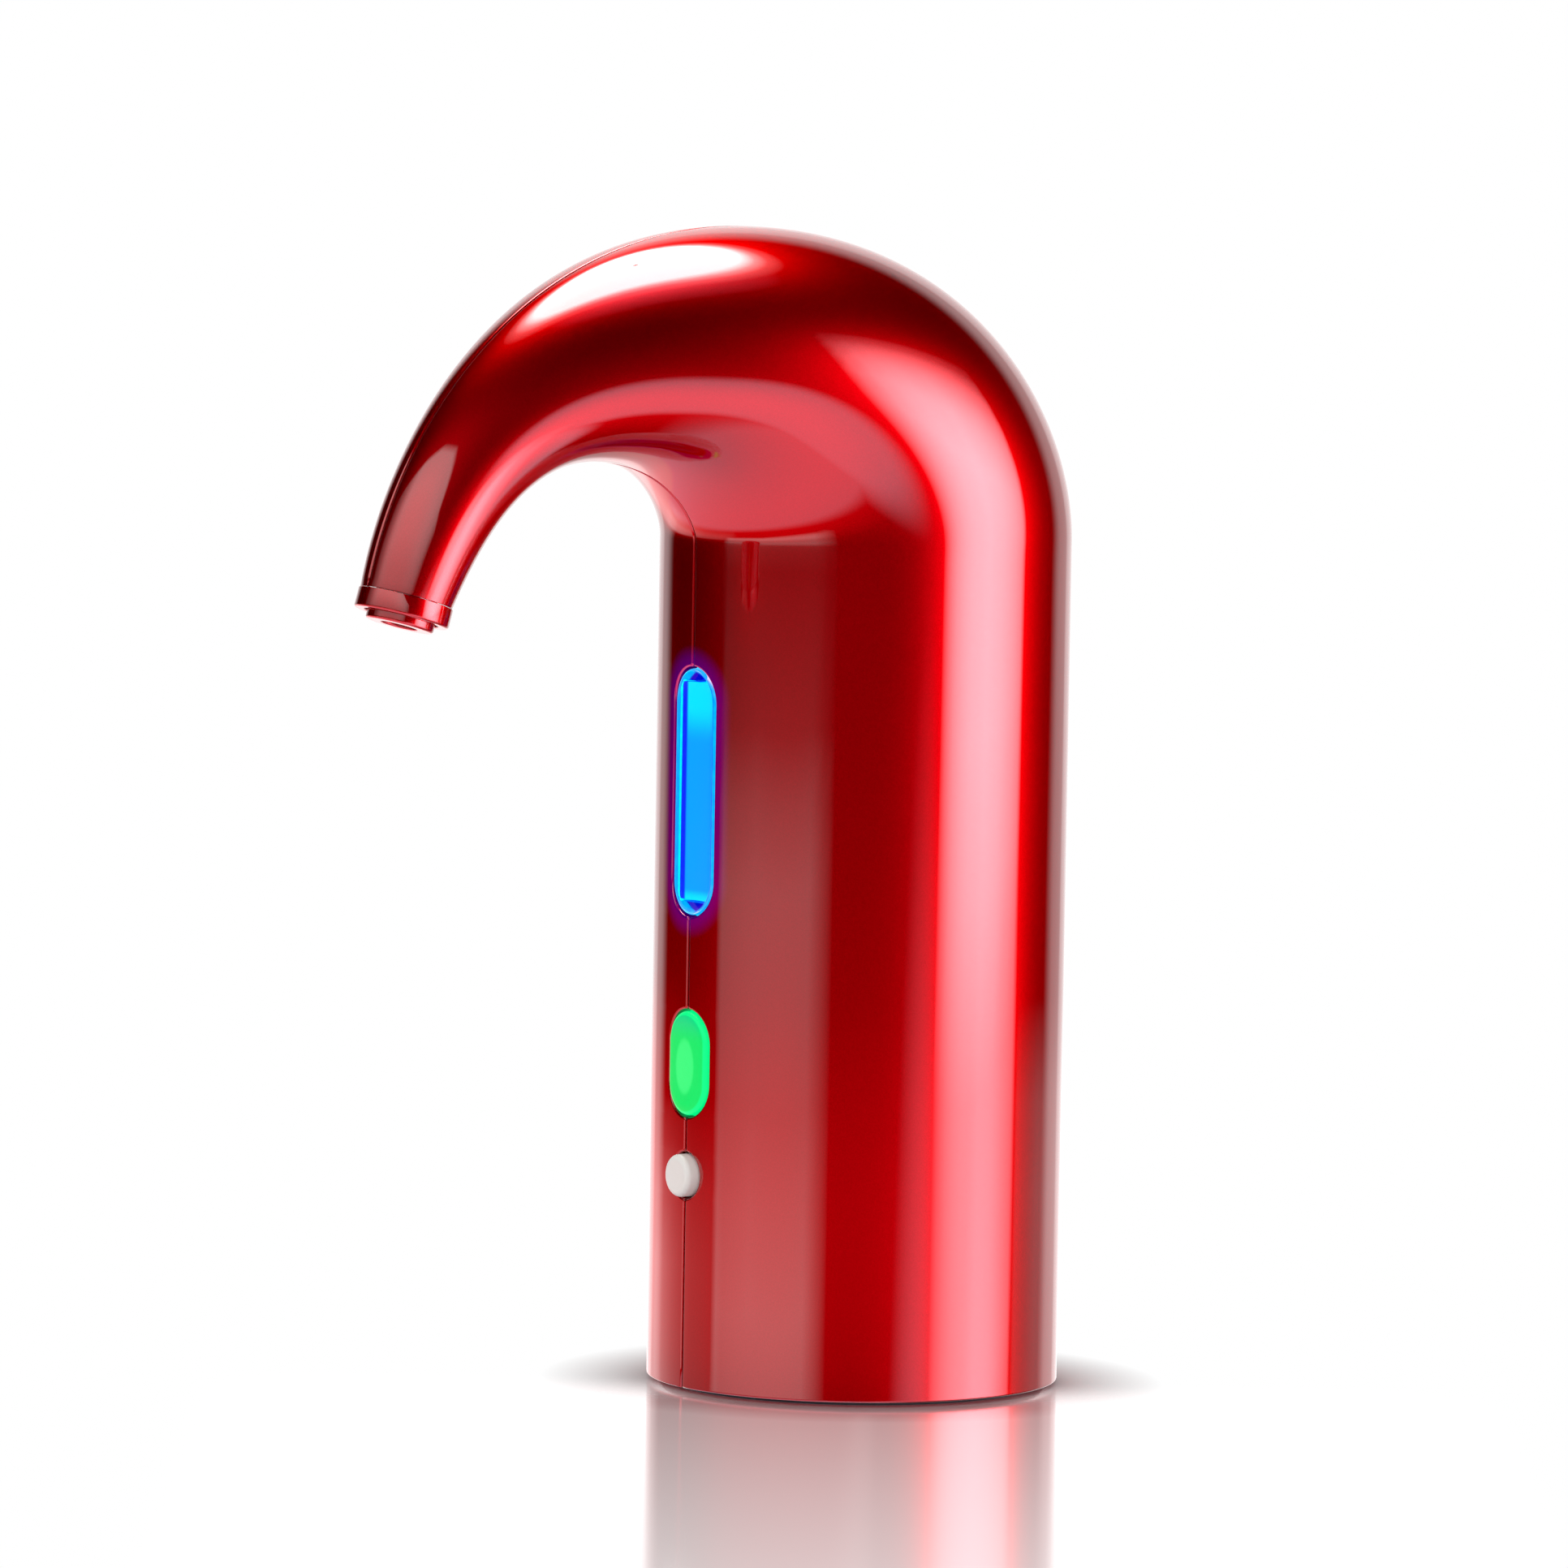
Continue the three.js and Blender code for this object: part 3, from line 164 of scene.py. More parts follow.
# Soft round patches of the world: azimuth, elevation, outer edge, inner edge, level
BACKDROP = (176, -6, 49, 36, 0.72)
FAR_FLOOR = (179, 2, 34, 24, 1.15)
GROUND = (110, -78, 73, 66, 0.6)
LEFT_SIDE = (-80, 0, 106, 98, 1.0)
GROUND_PATCHES = ((36, -30, 27, 17, 0.85), (78, -30, 27, 17, 1.0))

# Floor
FLOOR_REACH = 12.0
# painted shade: this grey, below the white of the floor further off, darkens the floor near the object on
# top of its real shadow
PAINTED_SHADE_GREY = (0.62, 0.62, 0.62)  # in the shadow zone
BOUNCE_GREY = (0.7, 0.7, 0.7)  # to light that isn't the camera's
SHADOW_REACH = 47 * MM
MIRROR_ROUGHNESS = 0.1
MIRROR_IOR = 1.6
MIRROR_SHARES = (1.5, 0.45)  # of the mirror, near the object and where it starts to fade
MIRROR_NEAR = 0.03
MIRROR_FADE = 0.36
MIRROR_END = 0.55
STRIP_HALF_WIDTH = 0.1
# painted light: a faint red glow in the floor's mirror strip, for the red body's light thrown on the
# floor
PAINTED_RED_GLOW = (1, 0.05, 0.06)
PAINTED_RED_GLOW_LEVEL = 0.13


def make_camera():
    lens = bpy.data.cameras.new("photo_camera")
    lens.sensor_width = 36
    lens.lens = VIEW_LENS
    lens.clip_start = 0.01
    lens.clip_end = 20
    camera = bpy.data.objects.new("photo_camera", lens)
    bpy.context.scene.collection.objects.link(camera)
    camera.rotation_mode = "QUATERNION"
    level = (-VIEW_BACK).to_track_quat("-Z", "Y")
    camera.rotation_quaternion = level @ Quaternion((0, 0, 1), VIEW_ROLL)
    camera.location = VIEW_AIM + VIEW_BACK * VIEW_DISTANCE
    bpy.context.scene.camera = camera


make_camera()


# Meshes and objects
NODE_SLOTS = {part["node"]: part["material_slot"] for part in frame["record"]["subparts"]}


def slot_of(node):
    """The record's material slot of a CAD node."""
    return NODE_SLOTS[node]


def place(mesh, replaced, body="housing", material=None):
    """An object of that mesh, dressed, riding on its body and standing for its CAD node."""
    obj = bpy.data.objects.new(mesh.name, mesh)
    bpy.context.scene.collection.objects.link(obj)
    mesh.materials.append(material or MATERIALS[slot_of(replaced)])
    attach(obj, body)
    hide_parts(replaced)
    return obj


def closed_mesh(name, points, faces, sharp_angle):
    """A closed mesh facing out, smooth except over sharp edges."""
    made = bmesh.new()
    corners = [made.verts.new(point) for point in points]
    for face in faces:
        if len(set(face)) > 2:
            made.faces.new([corners[i] for i in face])
    bmesh.ops.remove_doubles(made, verts=made.verts, dist=1e-7)
    bmesh.ops.dissolve_degenerate(made, edges=made.edges, dist=1e-8)
    bmesh.ops.recalc_face_normals(made, faces=made.faces)
    mesh = bpy.data.meshes.new(name)
    made.to_mesh(mesh)
    made.free()
    mesh.shade_smooth()
    mesh.set_sharp_from_angle(angle=math.radians(sharp_angle))
    return mesh


def lofted(name, rings, looped=False, sharp_angle=SHARP_ANGLE):
    """Closed mesh through rings of as many points each, capped at both ends or joined in a loop."""
    count = len(rings[0])
    points = [tuple(point) for ring in rings for point in ring]
    faces = []
    for k in range(len(rings) if looped else len(rings) - 1):
        here, ahead = k * count, (k + 1) % len(rings) * count
        for i in range(count):
            j = (i + 1) % count
            faces.append((here + i, here + j, ahead + j, ahead + i))
    if not looped:
        faces += [tuple(range(count)), tuple(range(len(points) - count, len(points)))]
    return closed_mesh(name, points, faces, sharp_angle)


def unit(vectors):
    return vectors / np.linalg.norm(vectors, axis=-1, keepdims=True)


def rounded(corners, steps):
    """Closed outline with rounded corners; each corner is (x, y, radius)."""
    outline = []
    for i, (x, y, radius) in enumerate(corners):
        corner = np.array((x, y), float)
        if not radius:
            outline.append(corner)
            continue
        before = unit(np.array(corners[i - 1][:2]) - corner)
        after = unit(np.array(corners[(i + 1) % len(corners)][:2]) - corner)
        half = math.acos(np.clip(before @ after, -1, 1)) / 2
        centre = corner + unit(before + after) * radius / math.sin(half)
        start = corner + before * radius / math.tan(half) - centre
        end = corner + after * radius / math.tan(half) - centre
        sweep = math.pi - 2 * half
        for k in range(steps + 1):
            turn = sweep * k / steps
            spoke = (start * math.sin(sweep - turn) + end * math.sin(turn)) / math.sin(sweep)
            outline.append(centre + spoke)
    return outline


def turned(name, corners, matrix=None, segments=TURN_SEGMENTS, steps=CORNER_STEPS):
    """Mesh turned about Z from a closed outline of (radius, height, rounding) corners in millimetres."""
    outline = rounded([(r * MM, z * MM, edge * MM) for r, z, edge in corners], steps)
    angles = [2 * math.pi * k / segments for k in range(segments)]
    rings = [[(r * math.cos(angle), r * math.sin(angle), z) for r, z in outline] for angle in angles]
    mesh = lofted(name, rings, looped=True)
    if matrix is not None:
        mesh.transform(matrix)
    return mesh


# Housing: round sections spanned between an outer and an inner line in the YZ plane
def outward(angle):
    return np.array((math.sin(angle), math.cos(angle)))


TIP_FLOW = -outward(TIP_TILT)
TIP_ACROSS = np.array((-math.cos(TIP_TILT), math.sin(TIP_TILT)))
TIP_CENTRE = TIP_FACE - RING_LENGTH * TIP_FLOW


def bend_lines():
    """Control points of the outer and the inner line, each of two cubic curves."""
    along_y, along_z = np.array((1, 0)), np.array((0, 1))
    back = np.array((BODY_RADIUS, SHOULDER_HEIGHT))
    front = np.array((-BODY_RADIUS, SHOULDER_HEIGHT))
    tip_outer = TIP_CENTRE + TIP_RADIUS * TIP_ACROSS
    tip_inner = TIP_CENTRE - TIP_RADIUS * TIP_ACROSS
    outer = [
        (back, back + BACK_HANDLE * along_z, CROWN + CROWN_BACK_HANDLE * along_y, CROWN),
        (CROWN, CROWN - CROWN_FRONT_HANDLE * along_y,
         tip_outer + TIP_OUTER_HANDLE * outward(OUTER_FLARE), tip_outer),
    ]
    inner = [
        (front, front + THROAT_HANDLE * along_z, ARCH + ARCH_BACK_HANDLE * along_y, ARCH),
        (ARCH, ARCH - ARCH_FRONT_HANDLE * along_y,
         tip_inner + TIP_INNER_HANDLE * outward(INNER_FLARE), tip_inner),
    ]
    return outer, inner


def cubic(controls, shares, rates):
    """Points and slopes of a cubic curve, run through at those rates."""
    a, b, c, d = controls
    u = shares[:, None]
    v = 1 - u
    point = v**3 * a + 3 * v**2 * u * b + 3 * v * u**2 * c + u**3 * d
    slope = 3 * (v**2 * (b - a) + 2 * v * u * (c - b) + u**2 * (d - c))
    return point, slope * rates[:, None]


def paced(shares, late, early):
    """Shares that run slower towards the end or faster at the start, and their rates."""
    run = shares + late * shares**2 * (1 - shares) + early * shares * (1 - shares)**2
    rates = 1 + late * (2 * shares - 3 * shares**2) + early * (1 - shares) * (1 - 3 * shares)
    return run, rates


def opening_heights():
    """Heights at which the openings on the seam are sampled, close together at their ends."""
    heights = []
    for centre, half_height, radius in (WINDOW, MAIN_HOLE, POWER_HOLE):
        straight = half_height - radius
        last = math.acos(SEAM_GAP / 2 / radius)
        arc = [straight + radius * math.sin(last * k / OPENING_STEPS) for k in range(OPENING_STEPS + 1)]
        arc.append(half_height + 1.5 * SEAM_EDGE)
        heights += [centre + side * height for height in arc for side in (-1, 1)]
    centre, radius, _ = PORT_HOLE
    arc = [radius * math.sin(math.pi / 2 * k / PORT_STEPS) for k in range(PORT_STEPS + 1)]
    arc += [radius + 0.02 * MM, radius + 1.5 * SEAM_EDGE]
    return heights + [centre + side * height for height in arc for side in (-1, 1)]


def body_heights():
    """Heights of the sections of the straight body."""
    heights = sorted(opening_heights())
    even = np.arange(FLOOR_GAP, SHOULDER_HEIGHT, BODY_STEP)
    spare = [h for h in even if min(abs(h - other) for other in heights) > 1 * MM and h > FLOOR_GAP]
    merged = sorted([FLOOR_GAP, SHOULDER_HEIGHT] + heights + spare)
    return np.array([h for i, h in enumerate(merged) if not i or h - merged[i - 1] > 1e-6])


def sections():
    """Outer and inner points of each section along the housing, and their slopes."""
    heights = body_heights()
    side = np.full_like(heights, BODY_RADIUS)
    up = np.stack((np.zeros_like(heights), np.ones_like(heights)), 1)
    outer, inner = [(np.stack((side, heights), 1), up)], [(np.stack((-side, heights), 1), up)]
    shares = np.linspace(0, 1, BEND_STEPS + 1)[1:]
    for line, controls, (late, early) in zip((outer, inner), bend_lines(), ((0, 0), CROWN_PACE)):
        line.append(cubic(controls[0], *paced(shares**BEND_CROWDING, late, 0)))
        line.append(cubic(controls[1], *paced(shares, 0, early)))
    joined = [np.concatenate([part[k] for part in line]) for line in (outer, inner) for k in (0, 1)]
    return joined, len(heights)


def opening_half_width(heights, opening):
    """Half the width of an upright opening with round ends at those heights."""
    centre, half_height, radius = opening
    beyond = np.maximum(np.abs(heights - centre) - (half_height - radius), 0)
    return np.sqrt(np.maximum(radius**2 - beyond**2, 0))


def port_half_width(heights):
    centre, radius, half_width = PORT_HOLE
    drop = np.abs(heights - centre)
    width = half_width - radius + np.sqrt(np.maximum(radius**2 - drop**2, 0))
    return np.where(drop <= radius + 1e-9, width, 0)


def column_angles(radius, heights, body_count):
    """Angles of the grid's columns, from the back seam to the front seam, clear of the openings."""
    seam = np.arcsin(SEAM_GAP / 2 / radius)
    shares = np.linspace(0, 1, COLUMNS)
    angles = seam[:, None] + (math.pi - 2 * seam[:, None]) * shares
    front, back = np.zeros_like(radius), np.zeros_like(radius)
    body = slice(0, body_count)
    for opening in (WINDOW, MAIN_HOLE, POWER_HOLE):
        half = np.maximum(opening_half_width(heights[body], opening), SEAM_GAP / 2)
        front[body] = np.maximum(front[body], np.arcsin(half / radius[body]) - seam[body])
    half = np.maximum(port_half_width(heights[body]), SEAM_GAP / 2)
    back[body] = np.arcsin(half / radius[body]) - seam[body]
    from_front = fade((angles[:, -1:] - angles) / OPENING_REACH)
    from_back = fade((angles - angles[:, :1]) / OPENING_REACH)
    return angles - front[:, None] * from_front + back[:, None] * from_back, from_front, from_back


def fade(distance):
    return np.clip(1 - distance, 0, 1) ** 2


def round_skin(lines, angles, depth=0):
    """Points of the round surface at that depth, and its outward normals."""
    outer, outer_slope, inner, inner_slope = lines
    centre, arm = (outer + inner) / 2, (outer - inner) / 2
    centre_slope, arm_slope = (outer_slope + inner_slope) / 2, (outer_slope - inner_slope) / 2
    radius = np.linalg.norm(arm, axis=1)
    radius_slope = (arm * arm_slope).sum(1) / radius
    sin, cos = np.sin(angles), np.cos(angles)
    reach = (1 - depth / radius)[:, None]
    points = np.stack((
        radius[:, None] * reach * sin,
        centre[:, :1] + arm[:, :1] * reach * cos,
        centre[:, 1:] + arm[:, 1:] * reach * cos,
    ), -1)
    along = np.stack((
        radius_slope[:, None] * sin,
        centre_slope[:, :1] + arm_slope[:, :1] * cos,
        centre_slope[:, 1:] + arm_slope[:, 1:] * cos,
    ), -1)
    around = np.stack((radius[:, None] * cos, -arm[:, :1] * sin, -arm[:, 1:] * sin), -1)
    return points, unit(np.cross(along, around))


def evened(normals, lines):
    """Normals of the bend averaged over a short way along it, so that reflections run on smoothly."""
    middle = (lines[0] + lines[2]) / 2
    bend = middle[:, 1] > EVEN_FROM
    way = np.concatenate(([0], np.cumsum(np.linalg.norm(np.diff(middle[bend], axis=0), axis=1))))
    weights = np.exp(-((way[:, None] - way) / EVEN_SPREAD) ** 2 / 2) * np.gradient(way)
    weights /= weights.sum(1, keepdims=True)
    mixed = normals.copy()
    mixed[bend] = unit(np.einsum("ij,jkl->ikl", weights, normals[bend]))
    return mixed


def edge_places(rows, columns):
    """Grid places round the edge: the bottom, up the front seam, over the tip, down the back seam."""
    bottom = [(0, j) for j in range(columns)]
    front = [(i, columns - 1) for i in range(1, rows)]
    top = [(rows - 1, j) for j in range(columns - 2, -1, -1)]
    back = [(i, 0) for i in range(rows - 2, 0, -1)]
    return np.array(bottom + front + top + back)


def edge_radii(places, rows):
    radii = np.full(len(places), SEAM_EDGE)
    radii[places[:, 0] == 0] = FOOT_EDGE
    radii[places[:, 0] == rows - 1] = TIP_EDGE
    return radii


def edge_outward(points, normals):
    """For a closed run of edge points: the way out of the material, plain and mitred."""
    ahead = unit(np.roll(points, -1, 0) - points)
    before = np.roll(ahead, 1, 0)
    out_ahead, out_before = unit(np.cross(normals, ahead)), unit(np.cross(normals, before))
    both = out_ahead + out_before
    share = np.maximum(1 + (out_ahead * out_before).sum(1, keepdims=True), MITRE_LIMIT)
    return unit(both), both / share


class Faces:
    """Quads with a normal at every corner, so that round surfaces reflect cleanly."""

    def __init__(self):
        self.points, self.quads, self.normals = [], [], []
        self.count = 0

    def add_points(self, points):
        start = self.count
        self.points.append(points.reshape(-1, 3))
        self.count += len(self.points[-1])
        return start + np.arange(points.size // 3).reshape(points.shape[:-1])

    def add_quads(self, a, b, c, d, normals):
        """Quads through four arrays of point numbers; normals has an array of normals for each."""
        self.quads.append(np.stack((a, b, c, d), -1).reshape(-1, 4))
        self.normals.append(np.stack(normals, -2).reshape(-1, 3))

    def add_grid(self, index, normals, outward_facing=True):
        corners = [(slice(None, -1), slice(None, -1)), (slice(1, None), slice(None, -1)),
                   (slice(1, None), slice(1, None)), (slice(None, -1), slice(1, None))]
        if not outward_facing:
            corners.reverse()
        self.add_quads(*(index[c] for c in corners), [normals[c] for c in corners])

    def add_band(self, near, far, near_normals, far_normals):
        """Quads between two closed runs of points, near to far."""
        near_next, far_next = np.roll(near, -1), np.roll(far, -1)
        self.add_quads(near, near_next, far_next, far, [
            near_normals, np.roll(near_normals, -1, 0), np.roll(far_normals, -1, 0), far_normals])

    def mesh(self, name, mirrored=False):
        points = np.concatenate(self.points)
        quads = np.concatenate(self.quads)
        normals = np.concatenate(self.normals).reshape(-1, 4, 3)
        if mirrored:
            points = points * (-1, 1, 1)
            normals = normals[:, ::-1] * (-1, 1, 1)
            quads = quads[:, ::-1]
        mesh = bpy.data.meshes.new(name)
        mesh.from_pydata(points.tolist(), [], quads.tolist())
        mesh.shade_smooth()
        mesh.normals_split_custom_set(normals.reshape(-1, 3).tolist())
        mesh.update()
        return mesh


def shell_mesh(name, mirrored):
    """One half of the housing: outside, rounded edges, cut faces and inside."""
    lines, body_count = sections()
    outer, _, inner, _ = lines
    radius = np.linalg.norm(outer - inner, axis=1) / 2
    heights = outer[:, 1]
    angles, from_front, from_back = column_angles(radius, heights, body_count)
    points, normals = round_skin(lines, angles)
    normals = evened(normals, lines)
    rows = len(radius)
    places = edge_places(rows, COLUMNS)
    at = (places[:, 0], places[:, 1])
    edge, edge_normals = points[at], normals[at]
    out, mitred = edge_outward(edge, edge_normals)
    rim = edge_radii(places, rows)[:, None]

    moved = np.zeros_like(points)
    moved[at] = -mitred * rim
    front_move, back_move = moved[1:-1, -1:].copy(), moved[1:-1, :1].copy()
    moved[1:-1] = front_move * from_front[1:-1, :, None] + back_move * from_back[1:-1, :, None]

    faces = Faces()
    grid = faces.add_points(points + moved)
    faces.add_grid(grid, normals)
    near, near_normals = grid[at], edge_normals
    for k in range(1, EDGE_STEPS + 1):
        turn = math.pi / 2 * k / EDGE_STEPS
        ring = edge - mitred * rim * (1 - math.sin(turn)) - edge_normals * rim * (1 - math.cos(turn))
        far, far_normals = faces.add_points(ring), edge_normals * math.cos(turn) + out * math.sin(turn)
        faces.add_band(near, far, near_normals, far_normals)
        near, near_normals = far, far_normals
    inner_angles, _, _ = column_angles(radius - WALL, heights, body_count)
    inside, inside_normals = round_skin(lines, inner_angles, WALL)
    inner_grid = faces.add_points(inside)
    faces.add_band(near, inner_grid[at], out, out)
    faces.add_grid(inner_grid, -inside_normals, outward_facing=False)
    return faces.mesh(name, mirrored)


# Upright outlines with round ends, and the caps that fill them
def stadium_ring(half_width, half_height, inset):
    """Points of an upright round-ended outline in XZ, inset from its edge."""
    radius = max(half_width - inset, 1e-6)
    straight = half_height - half_width
    ring = []
    for end in (1, -1):
        for k in range(OUTLINE_STEPS // 2 + 1):
            angle = math.pi * (2 * k / OUTLINE_STEPS + (end < 0))
            ring.append((radius * math.cos(angle), radius * math.sin(angle) + end * straight))
    return np.array(ring)


def ring_at(outline, y, centre_height):
    """An XZ outline at that height, at one y or with a y for each point."""
    x, z = outline.T
    return np.stack((x, y + 0 * x, z + centre_height), 1)


def ring_on_round(outline, radius, centre_height, back=0):
    """An XZ outline laid on a cylinder about Z, towards -Y, moved back by that much."""
    return ring_at(outline, -np.sqrt(radius**2 - outline[:, 0] ** 2) + back, centre_height)


def cap_rings(half_width, half_height, radius, centre_height, edge, dish=0):
    """Rings of a cap's rounded front, from its middle to where its side starts."""
    rings = []
    for share in CAP_SHARES:
        inset = half_width - (half_width - edge) * share
        outline = stadium_ring(half_width, half_height, inset)
        rings.append(ring_on_round(outline, radius, centre_height, dish * (1 - share**2)))
    for k in range(CAP_EDGE_STEPS + 1):
        turn = math.pi / 2 * k / CAP_EDGE_STEPS
        outline = stadium_ring(half_width, half_height, edge * (1 - math.sin(turn)))
        rings.append(ring_on_round(outline, radius, centre_height, edge * (1 - math.cos(turn))))
    return rings


def lens_mesh():
    """Clear cover: a round front, a lip behind the wall and a pocket for the light guide."""
    centre, half_height, half_width = WINDOW
    plug = half_width - FIT_GAP, half_height - FIT_GAP
    lip = half_width + LENS_LIP, half_height + LENS_LIP
    seat = BODY_RADIUS - WALL - FIT_GAP
    rings = cap_rings(*plug, LENS_RADIUS, centre, LENS_EDGE)
    rings += [ring_on_round(stadium_ring(*size, 0), seat, centre) for size in (plug, lip)]
    rings.append(ring_at(stadium_ring(*lip, 0), LENS_BACK, centre))
    corner = np.array((GUIDE_HALF_WIDTH, GUIDE_HALF_HEIGHT)) + FIT_GAP
    pocket = np.clip(stadium_ring(half_width, half_height, POCKET_MARGIN), -corner, corner)
    pocket_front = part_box("light_guide")[0].y - FIT_GAP
    rings += [ring_at(pocket, y, centre) for y in (LENS_BACK, pocket_front)]
    return lofted("window_cover", rings)


def main_button_mesh():
    """Green cap with a soft edge, its lip behind the wall and its stem."""
    centre, half_height, half_width = MAIN_HOLE
    low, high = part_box("main_button")
    cap = half_width - FIT_GAP, half_height - FIT_GAP
    lip = half_width + MAIN_LIP, half_height + MAIN_LIP
    lip_front = -math.sqrt((BODY_RADIUS - WALL) ** 2 - lip[0] ** 2) + FIT_GAP
    lip_back = lip_front + LIP_THICKNESS
    stem = STEM_RADIUS, STEM_RADIUS
    rings = cap_rings(*cap, -low.y, centre, MAIN_EDGE, MAIN_DISH)
    rings += [ring_at(stadium_ring(*size, 0), y, centre) for size, y in (
        (cap, lip_front), (lip, lip_front), (lip, lip_back), (stem, lip_back), (stem, high.y))]
    return lofted("green_button_cap", rings)


FACING_FRONT = Matrix.Rotation(math.radians(90), 4, "X")


def power_button_mesh():
    """White cap with a rounded rim and a slightly hollow face."""
    low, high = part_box("power_button")
    front, back = -low.y / MM, -high.y / MM
    lip, stem = POWER_LIP_RADIUS / MM, STEM_RADIUS / MM
    lip_front = (math.sqrt((BODY_RADIUS - WALL) ** 2 - POWER_LIP_RADIUS**2) - FIT_GAP) / MM
    lip_back = lip_front - LIP_THICKNESS / MM
    corners = [
        (0, back, 0), (stem, back, 0), (stem, lip_back, 0), (lip, lip_back, 0), (lip, lip_front, 0),
        (3.2, lip_front, 0), (3.2, front, 0.9), (1.9, front - 0.12, 0.5), (0, front - 0.16, 0),
    ]
    turn = Matrix.Translation((0, 0, POWER_HOLE[0])) @ FACING_FRONT
    return turned("white_button_cap", corners, turn, steps=POWER_CORNER_STEPS)


# Spout end, in its own frame: the shells end at zero and the wine leaves towards -Z
SPOUT_FRAME = Matrix.Translation((0, TIP_CENTRE[0], TIP_CENTRE[1])) @ Matrix.Rotation(-TIP_TILT, 4, "X")


def spout_ring_mesh():
    corners = [
        (5.55, -3, 0.2), (7.1, -3, 0.35), (7.1, -0.09, 0.07), (4.6, -0.09, 0), (4.6, 4.7, 0.1),
        (3.3, 4.7, 0), (3.3, -1.2, 0), (5.55, -1.2, 0),
    ]
    return turned("spout_collar", corners, SPOUT_FRAME)


def spout_nozzle_mesh():
    corners = [
        (2.7, -4.2, 0.25), (5.1, -4.2, 0.4), (5.1, -1.5, 0), (1.7, -1.5, 0), (1.7, 4.5, 0.1),
        (1.1, 4.5, 0), (1.1, -1.8, 0), (2.7, -1.8, 0),
    ]
    return turned("spout_outlet", corners, SPOUT_FRAME)


# Base
def foot_ring_mesh():
    corners = [
        (22.1, 0, 0.4), (28.7, 0, 0.4), (28.7, 1.5, 0), (26.6, 1.5, 0), (24.2, 1.5, 0), (22.1, 1.5, 0),
    ]
    return turned("foot_ring_rubber", corners)


def boss_mesh(name, x, y):
    """Screw boss that stands inside a shell, over a screw of the base plate."""
    corners = [(1.4, 4.3, 0), (3.2, 4.3, 0.1), (3.2, 13.3, 0.2), (1.4, 13.3, 0)]
    return turned(name, corners, Matrix.Translation((x, y, 0)), BOSS_SEGMENTS)


def sleeve_mesh():
    """Soft sleeve with three round lips that grip the bottle's mouth."""
    bore, outside, collar, top_bore = 15.0, 17.2, 19.0, 9.8
    bottom, top, seal_bottom = 0.5, 31.5, 29.9
    corners = [
        (top_bore, top, 0.3), (outside, top, 0.2), (outside, bottom + 1, 0), (collar, bottom + 1, 0.2),
        (collar, bottom, 0.3), (bore, bottom, 0.5),
    ]
    pitch = (seal_bottom - bottom) / 4
    for i in range(1, 4):
        middle = bottom + i * pitch
        corners += [(bore, middle - 1.2, 0.3), (bore - 0.8, middle, 0.5), (bore, middle + 1.2, 0.3)]
    corners += [(bore, seal_bottom, 0.3), (top_bore, seal_bottom, 0.3)]
    return turned("bottle_sleeve", corners)


# Hoses and leads
def mixed(t, start, end, a, b):
    return ((end - t) * a + (t - start) * b) / (end - start)


def smooth_route(controls):
    """Points on the centripetal spline through the controls, evenly spread between them."""
    controls = np.array(controls, float)
    before, after = 2 * controls[:1] - controls[1:2], 2 * controls[-1:] - controls[-2:-1]
    padded = np.concatenate((before, controls, after))
    knots = np.concatenate(([0], np.cumsum(np.linalg.norm(np.diff(padded, axis=0), axis=1) ** 0.5)))
    route = []
    for k in range(1, len(padded) - 2):
        stops = knots[k - 1:k + 3]
        for t in np.linspace(stops[1], stops[2], TUBE_SAMPLES, endpoint=False):
            points = padded[k - 1:k + 3]
            for gap in (1, 2):
                points = [mixed(t, stops[i], stops[i + gap], *points[i:i + 2]) for i in range(4 - gap)]
            route.append(mixed(t, stops[1], stops[2], *points))
    return np.array(route + [controls[-1]])


def tube_mesh(name, controls, radius, bore):
    """Smooth tube along a route in millimetres; a bore of zero makes it solid."""
    route = smooth_route(controls) * MM
    ahead = unit(np.gradient(route, axis=0))
    side = unit(np.cross(ahead[0], (0.3, 0.9, 0.1)))
    circle = [2 * math.pi * k / TUBE_SIDES for k in range(TUBE_SIDES)]
    outside, inside = [], []
    for point, forward in zip(route, ahead):
        side = unit(side - forward * (side @ forward))
        other = np.cross(forward, side)
        spokes = np.array([side * math.cos(a) + other * math.sin(a) for a in circle])
        outside.append(point + spokes * radius * MM)
        inside.append(point + spokes * bore * MM)
    if not bore:
        return lofted(name, outside)
    return lofted(name, outside + inside[::-1], looped=True, sharp_angle=TUBE_SHARP_ANGLE)


def straight_run(start, along):
    start, along = np.array(start, float), np.array(along, float)
    return [start + along * share for share in (0, 0.5, 1)]


def spout_route():
    """From the aerator up through the middle of the bend to the outlet, in millimetres."""
    lines = bend_lines()
    route = straight_run((0, AERATOR_Y, 96.3), (0, 0, 6)) + [(0, AERATOR_Y, SHOULDER_HEIGHT / MM)]
    for piece, share in ((0, 10 / 12), (1, 1 / 12), (1, 4 / 12), (1, 7 / 12), (1, 10 / 12)):
        at = np.array([share])
        y, z = sum(cubic(line[piece], at, np.ones(1))[0][0] for line in lines) / 2 / MM
        route.append((0, y, z))
    flow = np.concatenate(((0,), TIP_FLOW))
    end = np.concatenate(((0,), TIP_CENTRE / MM)) + 1.2 * flow
    return route + straight_run(end - 6 * flow, 6 * flow)


